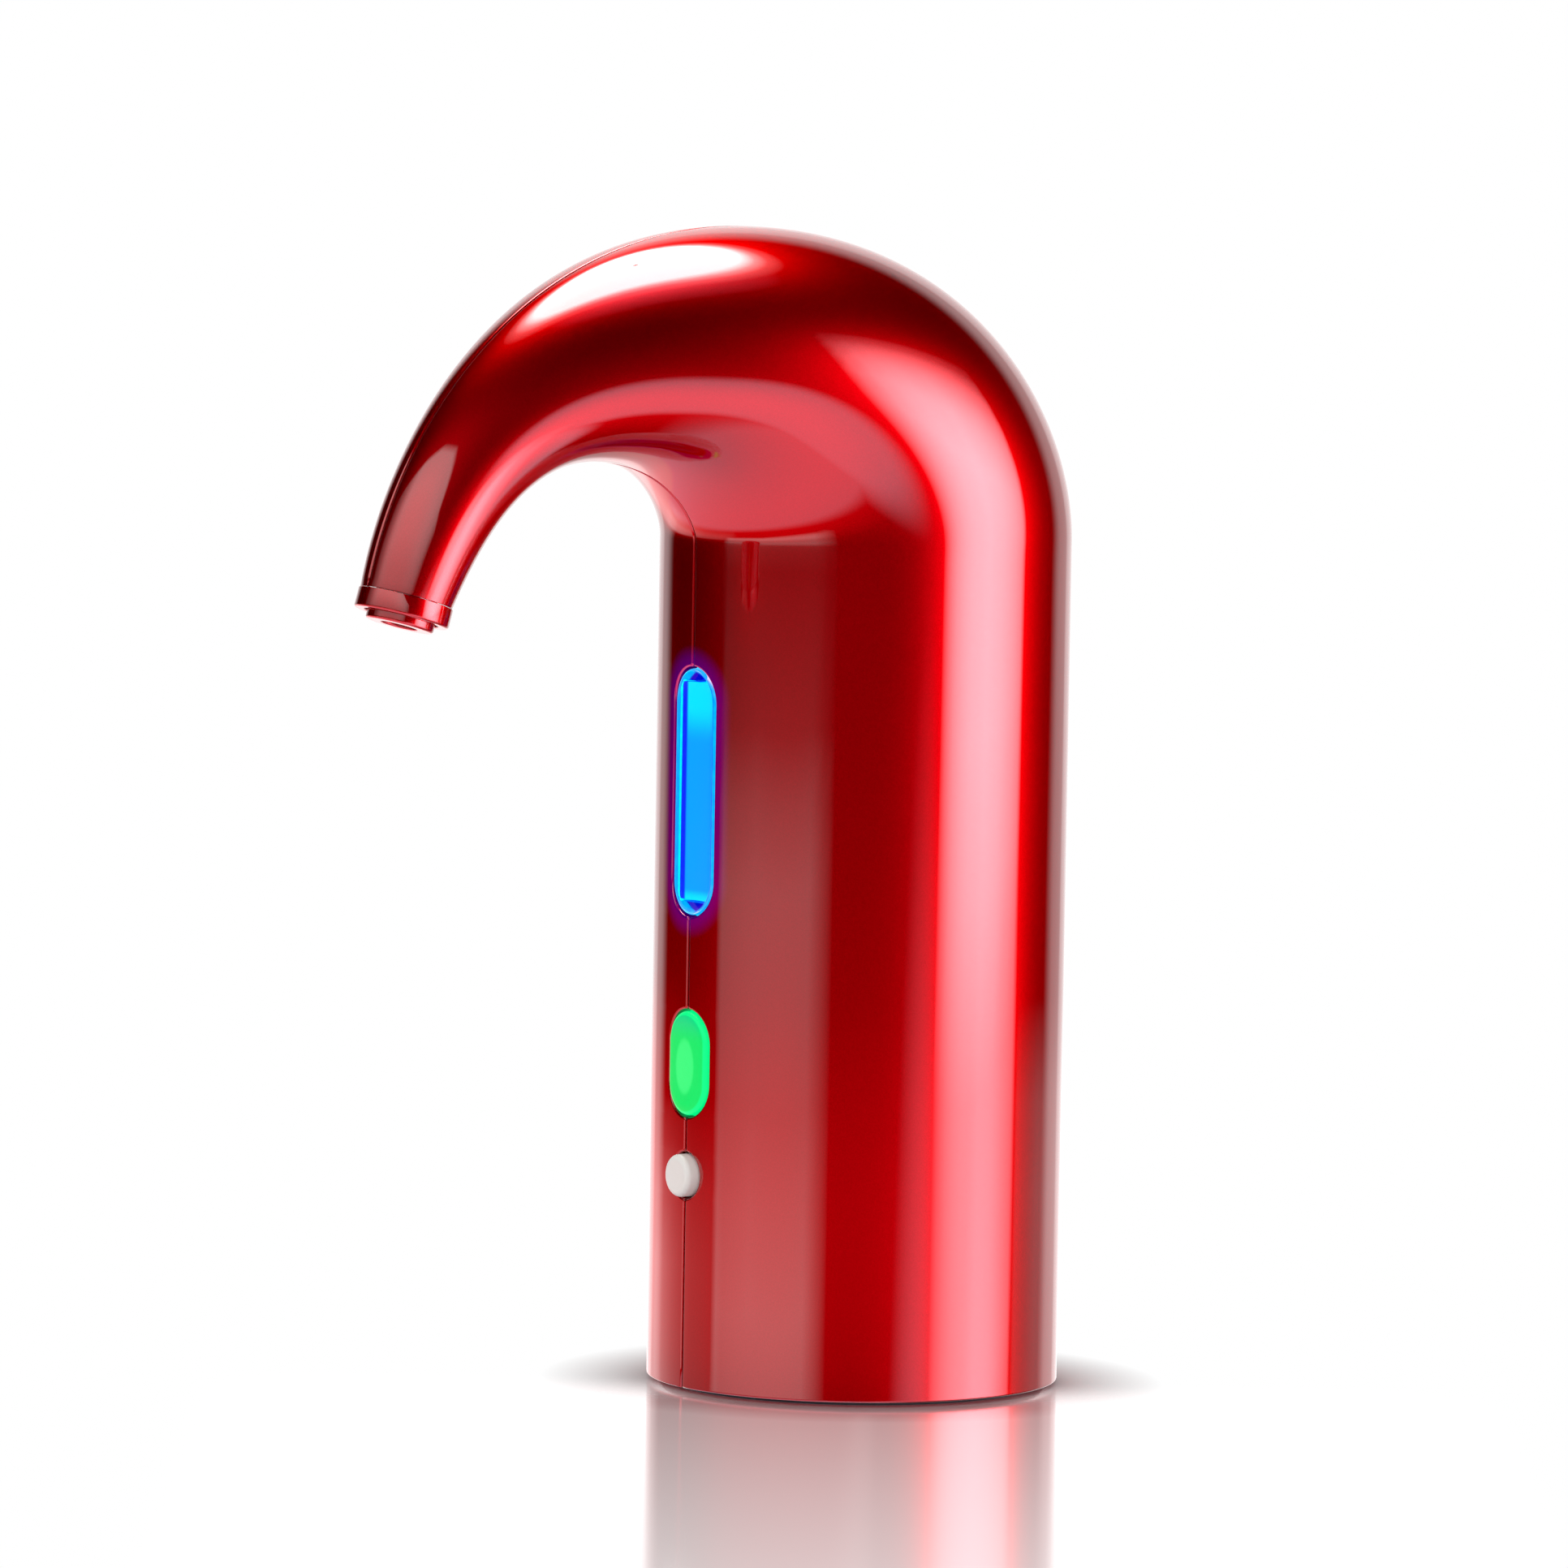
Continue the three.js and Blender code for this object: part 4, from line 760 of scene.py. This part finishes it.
def tubes():
    """Hoses and leads, along the routes that part.mjs gives them: name, route, radii."""
    charge_turns = [
        (CHARGE_RADIUS * math.cos(turn), CHARGE_RADIUS * math.sin(turn), CHARGE_HEIGHT)
        for turn in np.radians((130, 155, 185, 212))
    ]
    wine_lower = (straight_run((0, 0, 35.6), (0, 0, 8)) + [(0, AERATOR_Y / 2, 53.65)]
                  + straight_run((0, AERATOR_Y, 63.7), (0, 0, 8)))
    air_upper = (straight_run((15.5, 6, 97.9), (0, 0, 4.5)) + [(7.75, 13.234, 113)]
                 + straight_run((0, VENT_Y, 102.4), (0, 0, -4.8))
                 + straight_run((0, VENT_Y, 97.6), (0, 0, -4.5))[1:])
    air_lower = (straight_run((0, AIR_FITTING_Y, 35.6), (0, 0, 4.5))
                 + [(0, (AIR_FITTING_Y + VENT_Y) / 2, 55.05)]
                 + straight_run((0, VENT_Y, 70), (0, 0, 4.5)))
    battery = (straight_run((-15, 7, 102.9), (0, 0, 2.7)) + [(-12, AERATOR_Y * 0.4, 108)]
               + straight_run((LEAD_X, LEAD_Y, 99), (0, 0, -36.2)))
    motor = [(MOTOR_LEAD_X, -3.83, 47.7), (MOTOR_LEAD_X, -10.5, 48.6), (MOTOR_LEAD_X, -19.508, 47.7)]
    charge = (straight_run((-6.8, 22.947, CHARGE_HEIGHT), (-2.7, 0, 0)) + charge_turns
              + [(LEAD_X, LEAD_Y, 21.8), (LEAD_X, LEAD_Y, 24.2)])
    return [
        ("wine_tube_lower", wine_lower, WINE_TUBE), ("wine_tube_upper", spout_route(), WINE_TUBE),
        ("air_hose_upper", air_upper, AIR_HOSE), ("air_hose_lower", air_lower, AIR_HOSE),
        ("battery_lead", battery, LEAD), ("motor_lead", motor, LEAD), ("charge_lead", charge, LEAD),
    ]


# Materials
class Nodes:
    """A node tree, with short ways to add to it."""

    def __init__(self, tree):
        self.tree = tree

    def node(self, kind, inputs=(), **settings):
        made = self.tree.nodes.new("ShaderNode" + kind)
        for key, value in settings.items():
            setattr(made, key, value)
        for key, value in dict(inputs).items():
            self.feed(made.inputs[key], value)
        return made

    def feed(self, socket, value):
        """Link a node's first output or a socket, or set a value; colours come without alpha."""
        if isinstance(value, bpy.types.Node):
            value = value.outputs[0]
        if isinstance(value, bpy.types.NodeSocket):
            self.tree.links.new(value, socket)
        else:
            socket.default_value = (*value, 1) if socket.type == "RGBA" else value

    def math(self, operation, *values):
        made = self.node("Math", operation=operation)
        for socket, value in zip(made.inputs, values):
            self.feed(socket, value)
        return made.outputs[0]

    def times(self, a, b):
        return self.math("MULTIPLY", a, b)

    def products(self, a, b, c, d):
        """The product of the first two added to that of the last two."""
        return self.math("ADD", self.times(a, b), self.times(c, d))

    def between(self, factor, low, high, low_value=0.0, high_value=1.0, smooth=True):
        made = self.node("MapRange", {
            "Value": factor, "From Min": low, "From Max": high, "To Min": low_value, "To Max": high_value,
        }, interpolation_type="SMOOTHSTEP" if smooth else "LINEAR")
        return made.outputs["Result"]


class Painter(Nodes):
    """A material's node tree, its shader and its output."""

    def __init__(self, name):
        self.material = bpy.data.materials.new(name)
        self.material.use_nodes = True
        super().__init__(self.material.node_tree)
        self.shader = self.tree.nodes["Principled BSDF"]
        self.output = self.tree.nodes["Material Output"]

    def place_in_metres(self):
        """Where on the piece a point is, in the part's own frame."""
        return self.node("TexCoord").outputs["Object"]

    def axes(self):
        return self.node("SeparateXYZ", {0: self.place_in_metres()}).outputs

    def noise(self, scale, detail=2.0, roughness=0.5):
        made = self.node("TexNoise", {
            "Vector": self.place_in_metres(), "Scale": scale, "Detail": detail, "Roughness": roughness})
        return made.outputs["Fac"]

    def blend(self, factor, first, second):
        made = self.node("Mix", {"Factor": factor, "A": first, "B": second}, data_type="RGBA")
        return made.outputs["Result"]

    def bump(self, height, strength, distance):
        made = self.node("Bump", {"Height": height, "Strength": strength, "Distance": distance})
        self.feed(self.shader.inputs["Normal"], made.outputs["Normal"])

    def set(self, **values):
        for key, value in values.items():
            self.feed(self.shader.inputs[key.replace("_", " ")], value)

    def outside(self, opening):
        """Distance outside an upright opening with round ends, in the XZ plane."""
        centre, half_height, half_width = opening
        x, _, z = self.axes()
        rise = self.math("ABSOLUTE", self.math("SUBTRACT", z, centre))
        beyond = self.math("MAXIMUM", self.math("SUBTRACT", rise, half_height - half_width), 0)
        return self.math("SUBTRACT", self.math("SQRT", self.products(x, x, beyond, beyond)), half_width)


def shell_paint():
    """Candy red metallic lacquer under a clear coat, with the window's violet light painted round the
    window as a glow.
    """
    paint = Painter("candy_red_lacquer")
    flake = paint.noise(5200, 3.0, 0.7)
    cloud = paint.noise(40)
    sparkle = paint.between(flake, 0.35, 0.65)
    red = paint.blend(sparkle, (0.49, 0, 0.0015), (0.6, 0, 0.005))
    red = paint.blend(paint.times(cloud, 0.2), red, (0.49, 0, 0.002))
    roughness = paint.between(flake, 0.3, 0.7, 0.34, 0.41)
    paint.set(Base_Color=red, Metallic=1, Roughness=roughness, Specular_Tint=(0.5, 0, 0.01),
              Coat_Weight=1, Coat_Roughness=0.03, Coat_IOR=1.9)
    paint.bump(flake, 0.04, 0.00002)
    _, y, _ = paint.axes()
    # painted light: a violet glow in the lacquer near the window, standing for the window's light on the
    # paint
    near = paint.between(paint.outside(WINDOW), 3.4 * MM, 0.4 * MM)
    in_front = paint.between(y, -24 * MM, -27 * MM)
    glow = paint.times(paint.times(near, in_front), 0.14)
    paint.set(Emission_Color=(0.12, 0, 1), Emission_Strength=glow)
    return paint.material


def clear_cover():
    """Clear plastic with a slight haze, as the aerator's bowl has."""
    cover = Painter("clear_lit_cover")
    haze = cover.noise(900)
    cover.set(Base_Color=(0.8, 0.97, 1), Transmission_Weight=1, IOR=1.49,
              Roughness=cover.between(haze, 0.3, 0.7, 0, 0.02))
    return cover.material


def window_cover():
    """The window's clear cover: it glows azure at its edge and deep blue over the plate."""
    cover = Painter("window_cover")
    rim = cover.between(cover.outside(WINDOW), -0.85 * MM, -0.5 * MM)
    haze = cover.noise(900)
    tone = cover.blend(cover.between(haze, 0.3, 0.7), (0, 0.5, 1), (0, 0.65, 1))
    tone = cover.blend(rim, (0, 0, 0.36), tone)
    cover.set(Base_Color=(0.6, 0.9, 1), Transmission_Weight=1, IOR=1.49, Roughness=0,
              Emission_Color=tone, Emission_Strength=0.85)
    return cover.material


def light_guide_plate():
    """Edge-lit plate: cyan at both ends, azure between, with a dark blue line along one side."""
    plate = Painter("lit_guide_plate")
    x, y, z = plate.axes()
    rise = plate.math("SUBTRACT", z, WINDOW[0])
    end = plate.math("MAXIMUM", plate.between(rise, 7 * MM, 13 * MM),
                     plate.between(rise, -14.5 * MM, -16 * MM))
    side = plate.between(plate.math("ABSOLUTE", x), 2.8 * MM, 3.6 * MM)
    azure = plate.blend(side, (0, 0.45, 1), (0, 0.56, 1))
    grain = plate.noise(1200)
    azure = plate.blend(plate.times(grain, 0.1), azure, (0, 0.5, 1))
    tone = plate.blend(end, azure, (0, 1, 1))
    tone = plate.blend(plate.between(x, -2.6 * MM, -3.2 * MM), tone, (0, 0, 0.7))
    front = plate.between(y, -27.6 * MM, -28.5 * MM)
    plate.set(Base_Color=(0, 0.1, 0.3), Roughness=0.4,
              Emission_Color=plate.blend(front, (0, 0, 0.55), tone), Emission_Strength=1)
    return plate.material


def green_button():
    """Lit translucent green cap: a paler middle, a bright rim and a cooler top."""
    cap = Painter("lit_green_cap")
    x, _, z = cap.axes()
    rise = cap.math("SUBTRACT", z, MAIN_HOLE[0])
    across = cap.math("DIVIDE", cap.math("ADD", x, 0.2 * MM), 2.5 * MM)
    up = cap.math("DIVIDE", cap.math("ADD", rise, 0.5 * MM), 4.4 * MM)
    middle = cap.between(cap.products(across, across, up, up), 1.1, 0.6)
    rim = cap.between(cap.outside(MAIN_HOLE), -1.1 * MM, -0.7 * MM)
    cool = cap.between(rise, 3.0 * MM, 7.0 * MM)
    tone = cap.blend(cool, (0, 0.76, 0.11), (0, 0.62, 0.22))
    tone = cap.blend(cap.times(middle, 0.65), tone, (0.07, 1, 0.24))
    tone = cap.blend(rim, tone, (0, 1, 0.26))
    grain = cap.noise(1500)
    cap.set(Base_Color=cap.blend(grain, (0, 0.2, 0.05), (0, 0.26, 0.07)), Roughness=0.35,
            Specular_IOR_Level=0.2, Emission_Color=tone, Emission_Strength=0.86)
    return cap.material


def moulded(name, light, dark, roughness, grain_scale=1400, bump=0.15, **more):
    """Moulded plastic or rubber with a fine grain in its colour and its surface."""
    made = Painter(name)
    cloud = made.noise(120)
    grain = made.noise(grain_scale, 3.0, 0.6)
    made.set(Base_Color=made.blend(cloud, dark, light),
             Roughness=made.between(grain, 0.3, 0.7, roughness - 0.06, roughness + 0.06), **more)
    made.bump(grain, bump, 0.00004)
    return made.material


def brushed(name, light, dark, roughness):
    """Plated steel with fine turning marks."""
    made = Painter(name)
    stretched = made.node("Mapping", {"Vector": made.place_in_metres(), "Scale": (60, 60, 6000)})
    streak = made.node("TexNoise", {"Vector": stretched, "Scale": 1, "Detail": 3.0}).outputs["Fac"]
    made.set(Base_Color=made.blend(streak, dark, light), Metallic=1,
             Roughness=made.between(streak, 0.3, 0.7, roughness - 0.06, roughness + 0.08))
    made.bump(streak, 0.08, 0.00002)
    return made.material


def circuit_board():
    """Green solder mask with fine copper lines."""
    board = Painter("solder_mask")
    cells = board.node("TexVoronoi", {"Vector": board.place_in_metres(), "Scale": 420.0},
                       feature="DISTANCE_TO_EDGE", distance="CHEBYCHEV")
    track = board.between(cells.outputs["Distance"], 0.05, 0.09)
    grain = board.noise(900)
    green = board.blend(grain, (0.03, 0.27, 0.14), (0.05, 0.34, 0.19))
    board.set(Base_Color=board.blend(track, (0.1, 0.46, 0.24), green), Roughness=0.42, Coat_Weight=0.3)
    board.bump(track, 0.25, 0.00005)
    return board.material


def battery_wrap():
    """Shrink wrap: blue with a pale band at its top and bottom."""
    wrap = Painter("cell_wrap")
    low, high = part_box("battery_cell")
    _, _, z = wrap.axes()
    band = wrap.math("MAXIMUM", wrap.between(z, high.z - 5 * MM, high.z - 4.9 * MM),
                     wrap.between(z, low.z + 2 * MM, low.z + 1.9 * MM))
    wrinkle = wrap.noise(160, 4.0, 0.6)
    blue = wrap.blend(wrinkle, (0.07, 0.27, 0.55), (0.1, 0.34, 0.66))
    wrap.set(Base_Color=wrap.blend(band, blue, (0.7, 0.72, 0.74)), Roughness=0.34, Coat_Weight=0.25)
    wrap.bump(wrinkle, 0.2, 0.0001)
    return wrap.material


MATERIALS = {
    "shell_paint": shell_paint(),
    "clear_cover": clear_cover(),
    "light_guide": light_guide_plate(),
    "circuit_board": circuit_board(),
    "black_plastic": moulded("black_moulding", (0.035, 0.035, 0.04), (0.022, 0.022, 0.026), 0.5),
    "grey_plastic": moulded("grey_moulding", (0.47, 0.48, 0.5), (0.4, 0.41, 0.43), 0.48),
    "button_green": green_button(),
    "button_white": moulded("white_cap", (0.9, 0.87, 0.83), (0.86, 0.83, 0.79), 0.36, bump=0.06),
    "screw_steel": brushed("zinc_plate", (0.62, 0.62, 0.64), (0.5, 0.5, 0.53), 0.32),
    "motor_steel": brushed("nickel_plate", (0.68, 0.69, 0.71), (0.55, 0.56, 0.58), 0.26),
    "battery_wrap": battery_wrap(),
    "silicone": moulded("milky_silicone", (0.82, 0.84, 0.85), (0.72, 0.75, 0.77), 0.45, bump=0.08,
                        Subsurface_Weight=0.3, Subsurface_Scale=0.002),
    "foot_rubber": moulded("foot_rubber", (0.025, 0.025, 0.027), (0.014, 0.014, 0.015), 0.75, 900, 0.3),
    "lead_cover": moulded("lead_cover", (0.62, 0.04, 0.04), (0.5, 0.03, 0.03), 0.42, bump=0.05),
}


def dress_cad_nodes():
    """Every CAD node gets its slot's material; the pieces below replace some of them."""
    for name, node in frame["nodes"].items():
        node.data.materials.clear()
        node.data.materials.append(MATERIALS[slot_of(name)])


dress_cad_nodes()


def add_pieces():
    place(shell_mesh("right_half", False), "right_shell")
    place(shell_mesh("left_half", True), "left_shell")
    for side, half in ((1, "right"), (-1, "left")):
        for where, y in (("front", -BOSS_PLACE[1]), ("back", BOSS_PLACE[1])):
            place(boss_mesh(f"{half}_{where}_boss", side * BOSS_PLACE[0], y), f"{half}_shell")
    place(spout_ring_mesh(), "spout_ring")
    place(spout_nozzle_mesh(), "spout_nozzle")
    cover = place(lens_mesh(), "window_lens", material=window_cover())
    cover.visible_glossy = False
    frame["nodes"]["light_guide"].visible_glossy = False
    place(main_button_mesh(), "main_button", "main_button")
    place(power_button_mesh(), "power_button", "power_button")
    place(foot_ring_mesh(), "foot_ring")
    place(sleeve_mesh(), "socket_sleeve")
    for name, route, (radius, bore) in tubes():
        place(tube_mesh(name + "_smooth", route, radius, bore), name)


add_pieces()


# Stage: floor, backdrop and soft lamps.
# Azimuths are in degrees, from the photograph's camera round to the picture's right.
def round_the_object(azimuth, distance, height):
    angle = math.radians(azimuth)
    flat = VIEW_NEAR * math.cos(angle) + VIEW_RIGHT * math.sin(angle)
    return Vector((flat.x * distance, flat.y * distance, height))


def direction_at(azimuth, elevation):
    angle = math.radians(elevation)
    return round_the_object(azimuth, math.cos(angle), math.sin(angle))


def staged(mesh, material):
    """An object of the stage, which throws no shadow."""
    obj = bpy.data.objects.new(mesh.name, mesh)
    bpy.context.scene.collection.objects.link(obj)
    mesh.materials.append(material)
    obj.visible_shadow = False
    return obj


def floor_paint():
    """White, and grey close to the object, where its shadow shows and painted shade darkens the floor as
    well. A strip towards the photograph's camera mirrors the object, less so further off, with a faint
    painted red glow for the red body's light."""
    paint = Painter("pale_glossy_floor")
    x, y, _ = paint.axes()

    def along(direction):
        return paint.products(x, direction.x, y, direction.y)

    away = paint.math("SQRT", paint.products(x, x, y, y))
    # painted shade: towards the object the floor turns from white glow to a grey diffuse colour, so it
    # darkens there besides the shadow it receives
    matt = paint.between(away, SHADOW_REACH, BODY_RADIUS, smooth=False)
    diffuse = paint.node("BsdfDiffuse", {
        "Color": paint.blend(matt, (0, 0, 0), PAINTED_SHADE_GREY)})
    white = paint.node("Emission", {
        "Color": (1, 1, 1), "Strength": paint.math("SUBTRACT", 1.0, matt)})
    base = paint.node("AddShader", {0: diffuse, 1: white})
    gloss = paint.node("BsdfAnisotropic", {"Color": (1, 1, 1), "Roughness": MIRROR_ROUGHNESS})
    # painted light: red emission added to the mirror strip, for the body's red light on the floor
    painted_red_glow = paint.node("Emission", {"Color": PAINTED_RED_GLOW, "Strength": PAINTED_RED_GLOW_LEVEL})
    mirror = paint.node("AddShader", {0: gloss, 1: painted_red_glow})
    share = paint.node("Fresnel", {"IOR": MIRROR_IOR})
    for weight in (
        paint.between(away, MIRROR_NEAR, MIRROR_FADE, *MIRROR_SHARES, smooth=False),
        paint.between(away, MIRROR_FADE, MIRROR_END, 1.0, 0.0),
        paint.between(along(VIEW_NEAR), 0.0, MIRROR_NEAR),
        paint.between(paint.math("ABSOLUTE", along(VIEW_RIGHT)), STRIP_HALF_WIDTH, STRIP_HALF_WIDTH / 2),
    ):
        share = paint.times(share, weight)
    seen = paint.node("MixShader", {0: share, 1: base, 2: mirror})
    rays = paint.node("LightPath").outputs
    grey = paint.node("BsdfDiffuse", {"Color": BOUNCE_GREY})
    whole = paint.node("MixShader", {
        0: rays["Is Camera Ray"], 1: grey, 2: seen})
    paint.feed(paint.output.inputs["Surface"], whole)
    return paint.material


def make_floor():
    mesh = bpy.data.meshes.new("floor")
    corners = [(x * FLOOR_REACH, y * FLOOR_REACH, 0) for x, y in ((-1, -1), (1, -1), (1, 1), (-1, 1))]
    mesh.from_pydata(corners, [], [(0, 1, 2, 3)])
    staged(mesh, floor_paint()).visible_glossy = False


def make_world():
    """White to the camera, even to matt surfaces, and soft patches behind and below in reflections."""
    world = bpy.data.worlds.new("studio")
    bpy.context.scene.world = world
    world.use_nodes = True
    sky = Nodes(world.node_tree)
    where = sky.node("TexCoord").outputs["Generated"]
    rays = sky.node("LightPath").outputs

    def cone(azimuth, elevation, outside, inside, level):
        """A soft-edged round patch of light, by the angles in degrees from its middle."""
        axis = direction_at(azimuth, elevation)
        along = sky.node("VectorMath", {0: where, 1: axis}, operation="DOT_PRODUCT").outputs["Value"]
        outside, inside = math.cos(math.radians(outside)), math.cos(math.radians(inside))
        return sky.between(along, outside, inside, 0.0, level)

    def choose(ray, otherwise, light):
        made = sky.node("Mix", {"Factor": rays[ray], "A": otherwise, "B": light}, data_type="VECTOR")
        return made.outputs[1]

    behind = sky.math("MAXIMUM", cone(*BACKDROP), cone(*FAR_FLOOR))
    ground = sky.times(cone(*GROUND), cone(*LEFT_SIDE))
    for patch in GROUND_PATCHES:
        ground = sky.math("MAXIMUM", ground, cone(*patch))
    tinted = sky.node("VectorMath", {0: GROUND_TINT, "Scale": ground}, operation="SCALE")
    shiny = sky.node("VectorMath", {0: behind, 1: tinted}, operation="MAXIMUM")
    light = choose("Is Camera Ray", choose("Is Diffuse Ray", shiny, (AMBIENT_LEVEL,) * 3), (1, 1, 1))
    sky.feed(sky.tree.nodes["Background"].inputs["Color"], light)


def lamp_sheet(name, points, levels, tint=(1, 1, 1), lights_matt=False):
    """A soft lamp: a sheet of glowing gauze through rows of points, with a level at every point."""
    rows, columns = len(points), len(points[0])
    mesh = bpy.data.meshes.new(name)
    quads = [(i * columns + j, i * columns + j + 1, (i + 1) * columns + j + 1, (i + 1) * columns + j)
             for i in range(rows - 1) for j in range(columns - 1)]
    mesh.from_pydata([tuple(point) for row in points for point in row], [], quads)
    glow = mesh.attributes.new("level", "FLOAT", "POINT")
    glow.data.foreach_set("value", [level for row in levels for level in row])
    paint = Painter(name)
    level = paint.node("Attribute", attribute_name="level").outputs["Fac"]
    lit = paint.node("Emission", {"Color": tint, "Strength": level})
    gauze = paint.node("BsdfTransparent")
    both = paint.node("AddShader", {0: lit, 1: gauze})
    paint.feed(paint.output.inputs["Surface"], both)
    lamp = staged(mesh, paint.material)
    lamp.visible_camera = False
    lamp.visible_diffuse = lights_matt


def upright_lamp(name, across, upward, facing=None, lean=0, tint=(1, 1, 1), lights_matt=False):
    """An upright sheet, flat where it faces one azimuth and curved round the object otherwise.
    across has (azimuth, share of the level, share of the height) stops and upward (height, level) stops;
    it leans by degrees for each metre."""
    points, levels = [], []
    for height, level in upward:
        row = []
        for azimuth, _, *rise in across:
            azimuth += lean * max(height, 0)
            turn = 0 if facing is None else math.radians(azimuth - facing)
            share = rise[0] if rise else 1
            row.append(round_the_object(azimuth, LAMP_DISTANCE / math.cos(turn), height * share))
        points.append(row)
        levels.append([level * stop[1] for stop in across])
    lamp_sheet(name, points, levels, tint, lights_matt)


def level_lamp(name, middle, outline, height, outwards, tint=(1, 1, 1)):
    """A level sheet through (towards the camera, rightwards) corners in metres.
    outwards has (share of the way to the outline, level) stops."""
    centre = np.array(middle, float)
    edge = np.array(outline, float)
    for _ in range(CORNER_CUTS):
        after = np.roll(edge, -1, axis=0)
        edge = np.stack((edge * 0.75 + after * 0.25, edge * 0.25 + after * 0.75), 1).reshape(-1, 2)
    edge = np.concatenate((edge, edge[:1]))
    rings = [centre + (edge - centre) * share for share, _ in outwards]
    lift = Vector((0, 0, height))
    points = [[VIEW_NEAR * x + VIEW_RIGHT * y + lift for x, y in ring] for ring in rings]
    lamp_sheet(name, points, [[level] * len(rings[0]) for _, level in outwards], tint)


def make_lamps():
    upright_lamp(
        "left_softbox", lights_matt=True, facing=-52,
        across=[(-98, 0, 0.85), (-84, 0.35, 0.9), (-70, 0.95, 0.96), (-50, 1, 1), (-25, 1, 0.95),
            (-8, 0.95, 0.8), (4, 0.7, 0.64), (14, 0, 0.5)],
        upward=[(0.2, 0), (0.27, 0.7), (0.42, 1.2), (0.58, 1.5), (0.7, 1.5), (0.735, 0)])
    upright_lamp(
        "low_left_softbox", lights_matt=True,
        across=[(-86, 0), (-82, 0.8), (-60, 1), (-28, 1), (-21, 0.45), (-15, 0)],
        upward=[(-0.14, 0), (-0.1, 0.85), (-0.075, 1.05), (-0.052, 0.84), (-0.03, 0.6), (0.018, 0.66),
            (0.036, 0.42), (0.052, 0.14), (0.09, 0.04), (0.12, 0)])
    upright_lamp(
        "right_softbox", facing=57, lean=12, tint=(1, 0.6, 0.68),
        across=[(42, 0), (45.5, 0.3), (50, 0.6), (55, 0.8), (60, 0.92), (70, 1), (80, 0.86),
            (90, 0.6), (95, 0.4), (98, 0)],
        upward=[(-0.35, 0), (-0.2, 1.8), (-0.1, 4.6), (-0.03, 4.7), (0.014, 7.1), (0.05, 8.1),
            (0.25, 8.8), (0.38, 7), (0.5, 4.2), (0.6, 2), (0.68, 0.6), (0.76, 0)])
    upright_lamp(
        "horizon_left",
        across=[(-180, 0.3), (-165, 0.3), (-150, 0.4), (-137, 0.9), (-120, 0.55), (-105, 0.3),
            (-90, 0.24), (-83, 0.18), (-78, 0)],
        upward=[(-0.3, 0), (-0.18, 0.8), (-0.13, 1.1), (-0.067, 0.85), (-0.052, 0.5),
            (-0.04, 0.15), (-0.03, 0)])
    upright_lamp(
        "horizon_right",
        across=[(97, 0), (100, 0.24), (110, 0.3), (120, 0.42), (135, 0.42), (150, 0.3), (165, 0.3),
            (180, 0.3)],
        upward=[(-0.3, 0), (-0.18, 0.7), (-0.13, 1), (-0.05, 0.95), (-0.03, 0.75),
            (-0.018, 0.3), (-0.008, 0)])
    level_lamp(
        "top_softbox", (-0.35, -0.12), height=0.85,
        outwards=[(0.02, 8), (0.84, 8), (0.96, 2.4), (1.06, 0.5), (1.2, 0)],
        outline=[(-0.87, -0.23), (-0.62, -0.42), (-0.25, -0.46), (0.04, -0.28), (0.04, 0.15),
            (-0.35, 0.2)])
    level_lamp(
        "top_glow", (-0.03, -0.03), height=0.84, tint=(1, 0.4, 0.6),
        outwards=[(0.02, 1.1), (0.4, 0.85), (0.7, 0.3), (1, 0)],
        outline=[(0.3 * math.cos(turn), 0.3 * math.sin(turn)) for turn in np.linspace(0, 5.5, 8)])
    around = [(-179, 0), (-160, 1), (-125, 1), (-90, 1), (-45, 1), (0, 1), (40, 1), (70, 0)]
    outwards = [(0.032, 0.3), (0.08, 0.55), (0.16, 0.75), (0.3, 0.85), (0.45, 0.6), (0.6, 0.2), (0.68, 0)]
    under_floor = -1 * MM
    lamp_sheet(
        "red_bounce", tint=(1, 0, 0.01),
        points=[[round_the_object(azimuth, away, under_floor) for azimuth, _ in around]
            for away, _ in outwards],
        levels=[[level * share for _, share in around] for _, level in outwards])


make_floor()
make_world()
make_lamps()
bpy.context.scene.view_settings.view_transform = "Standard"
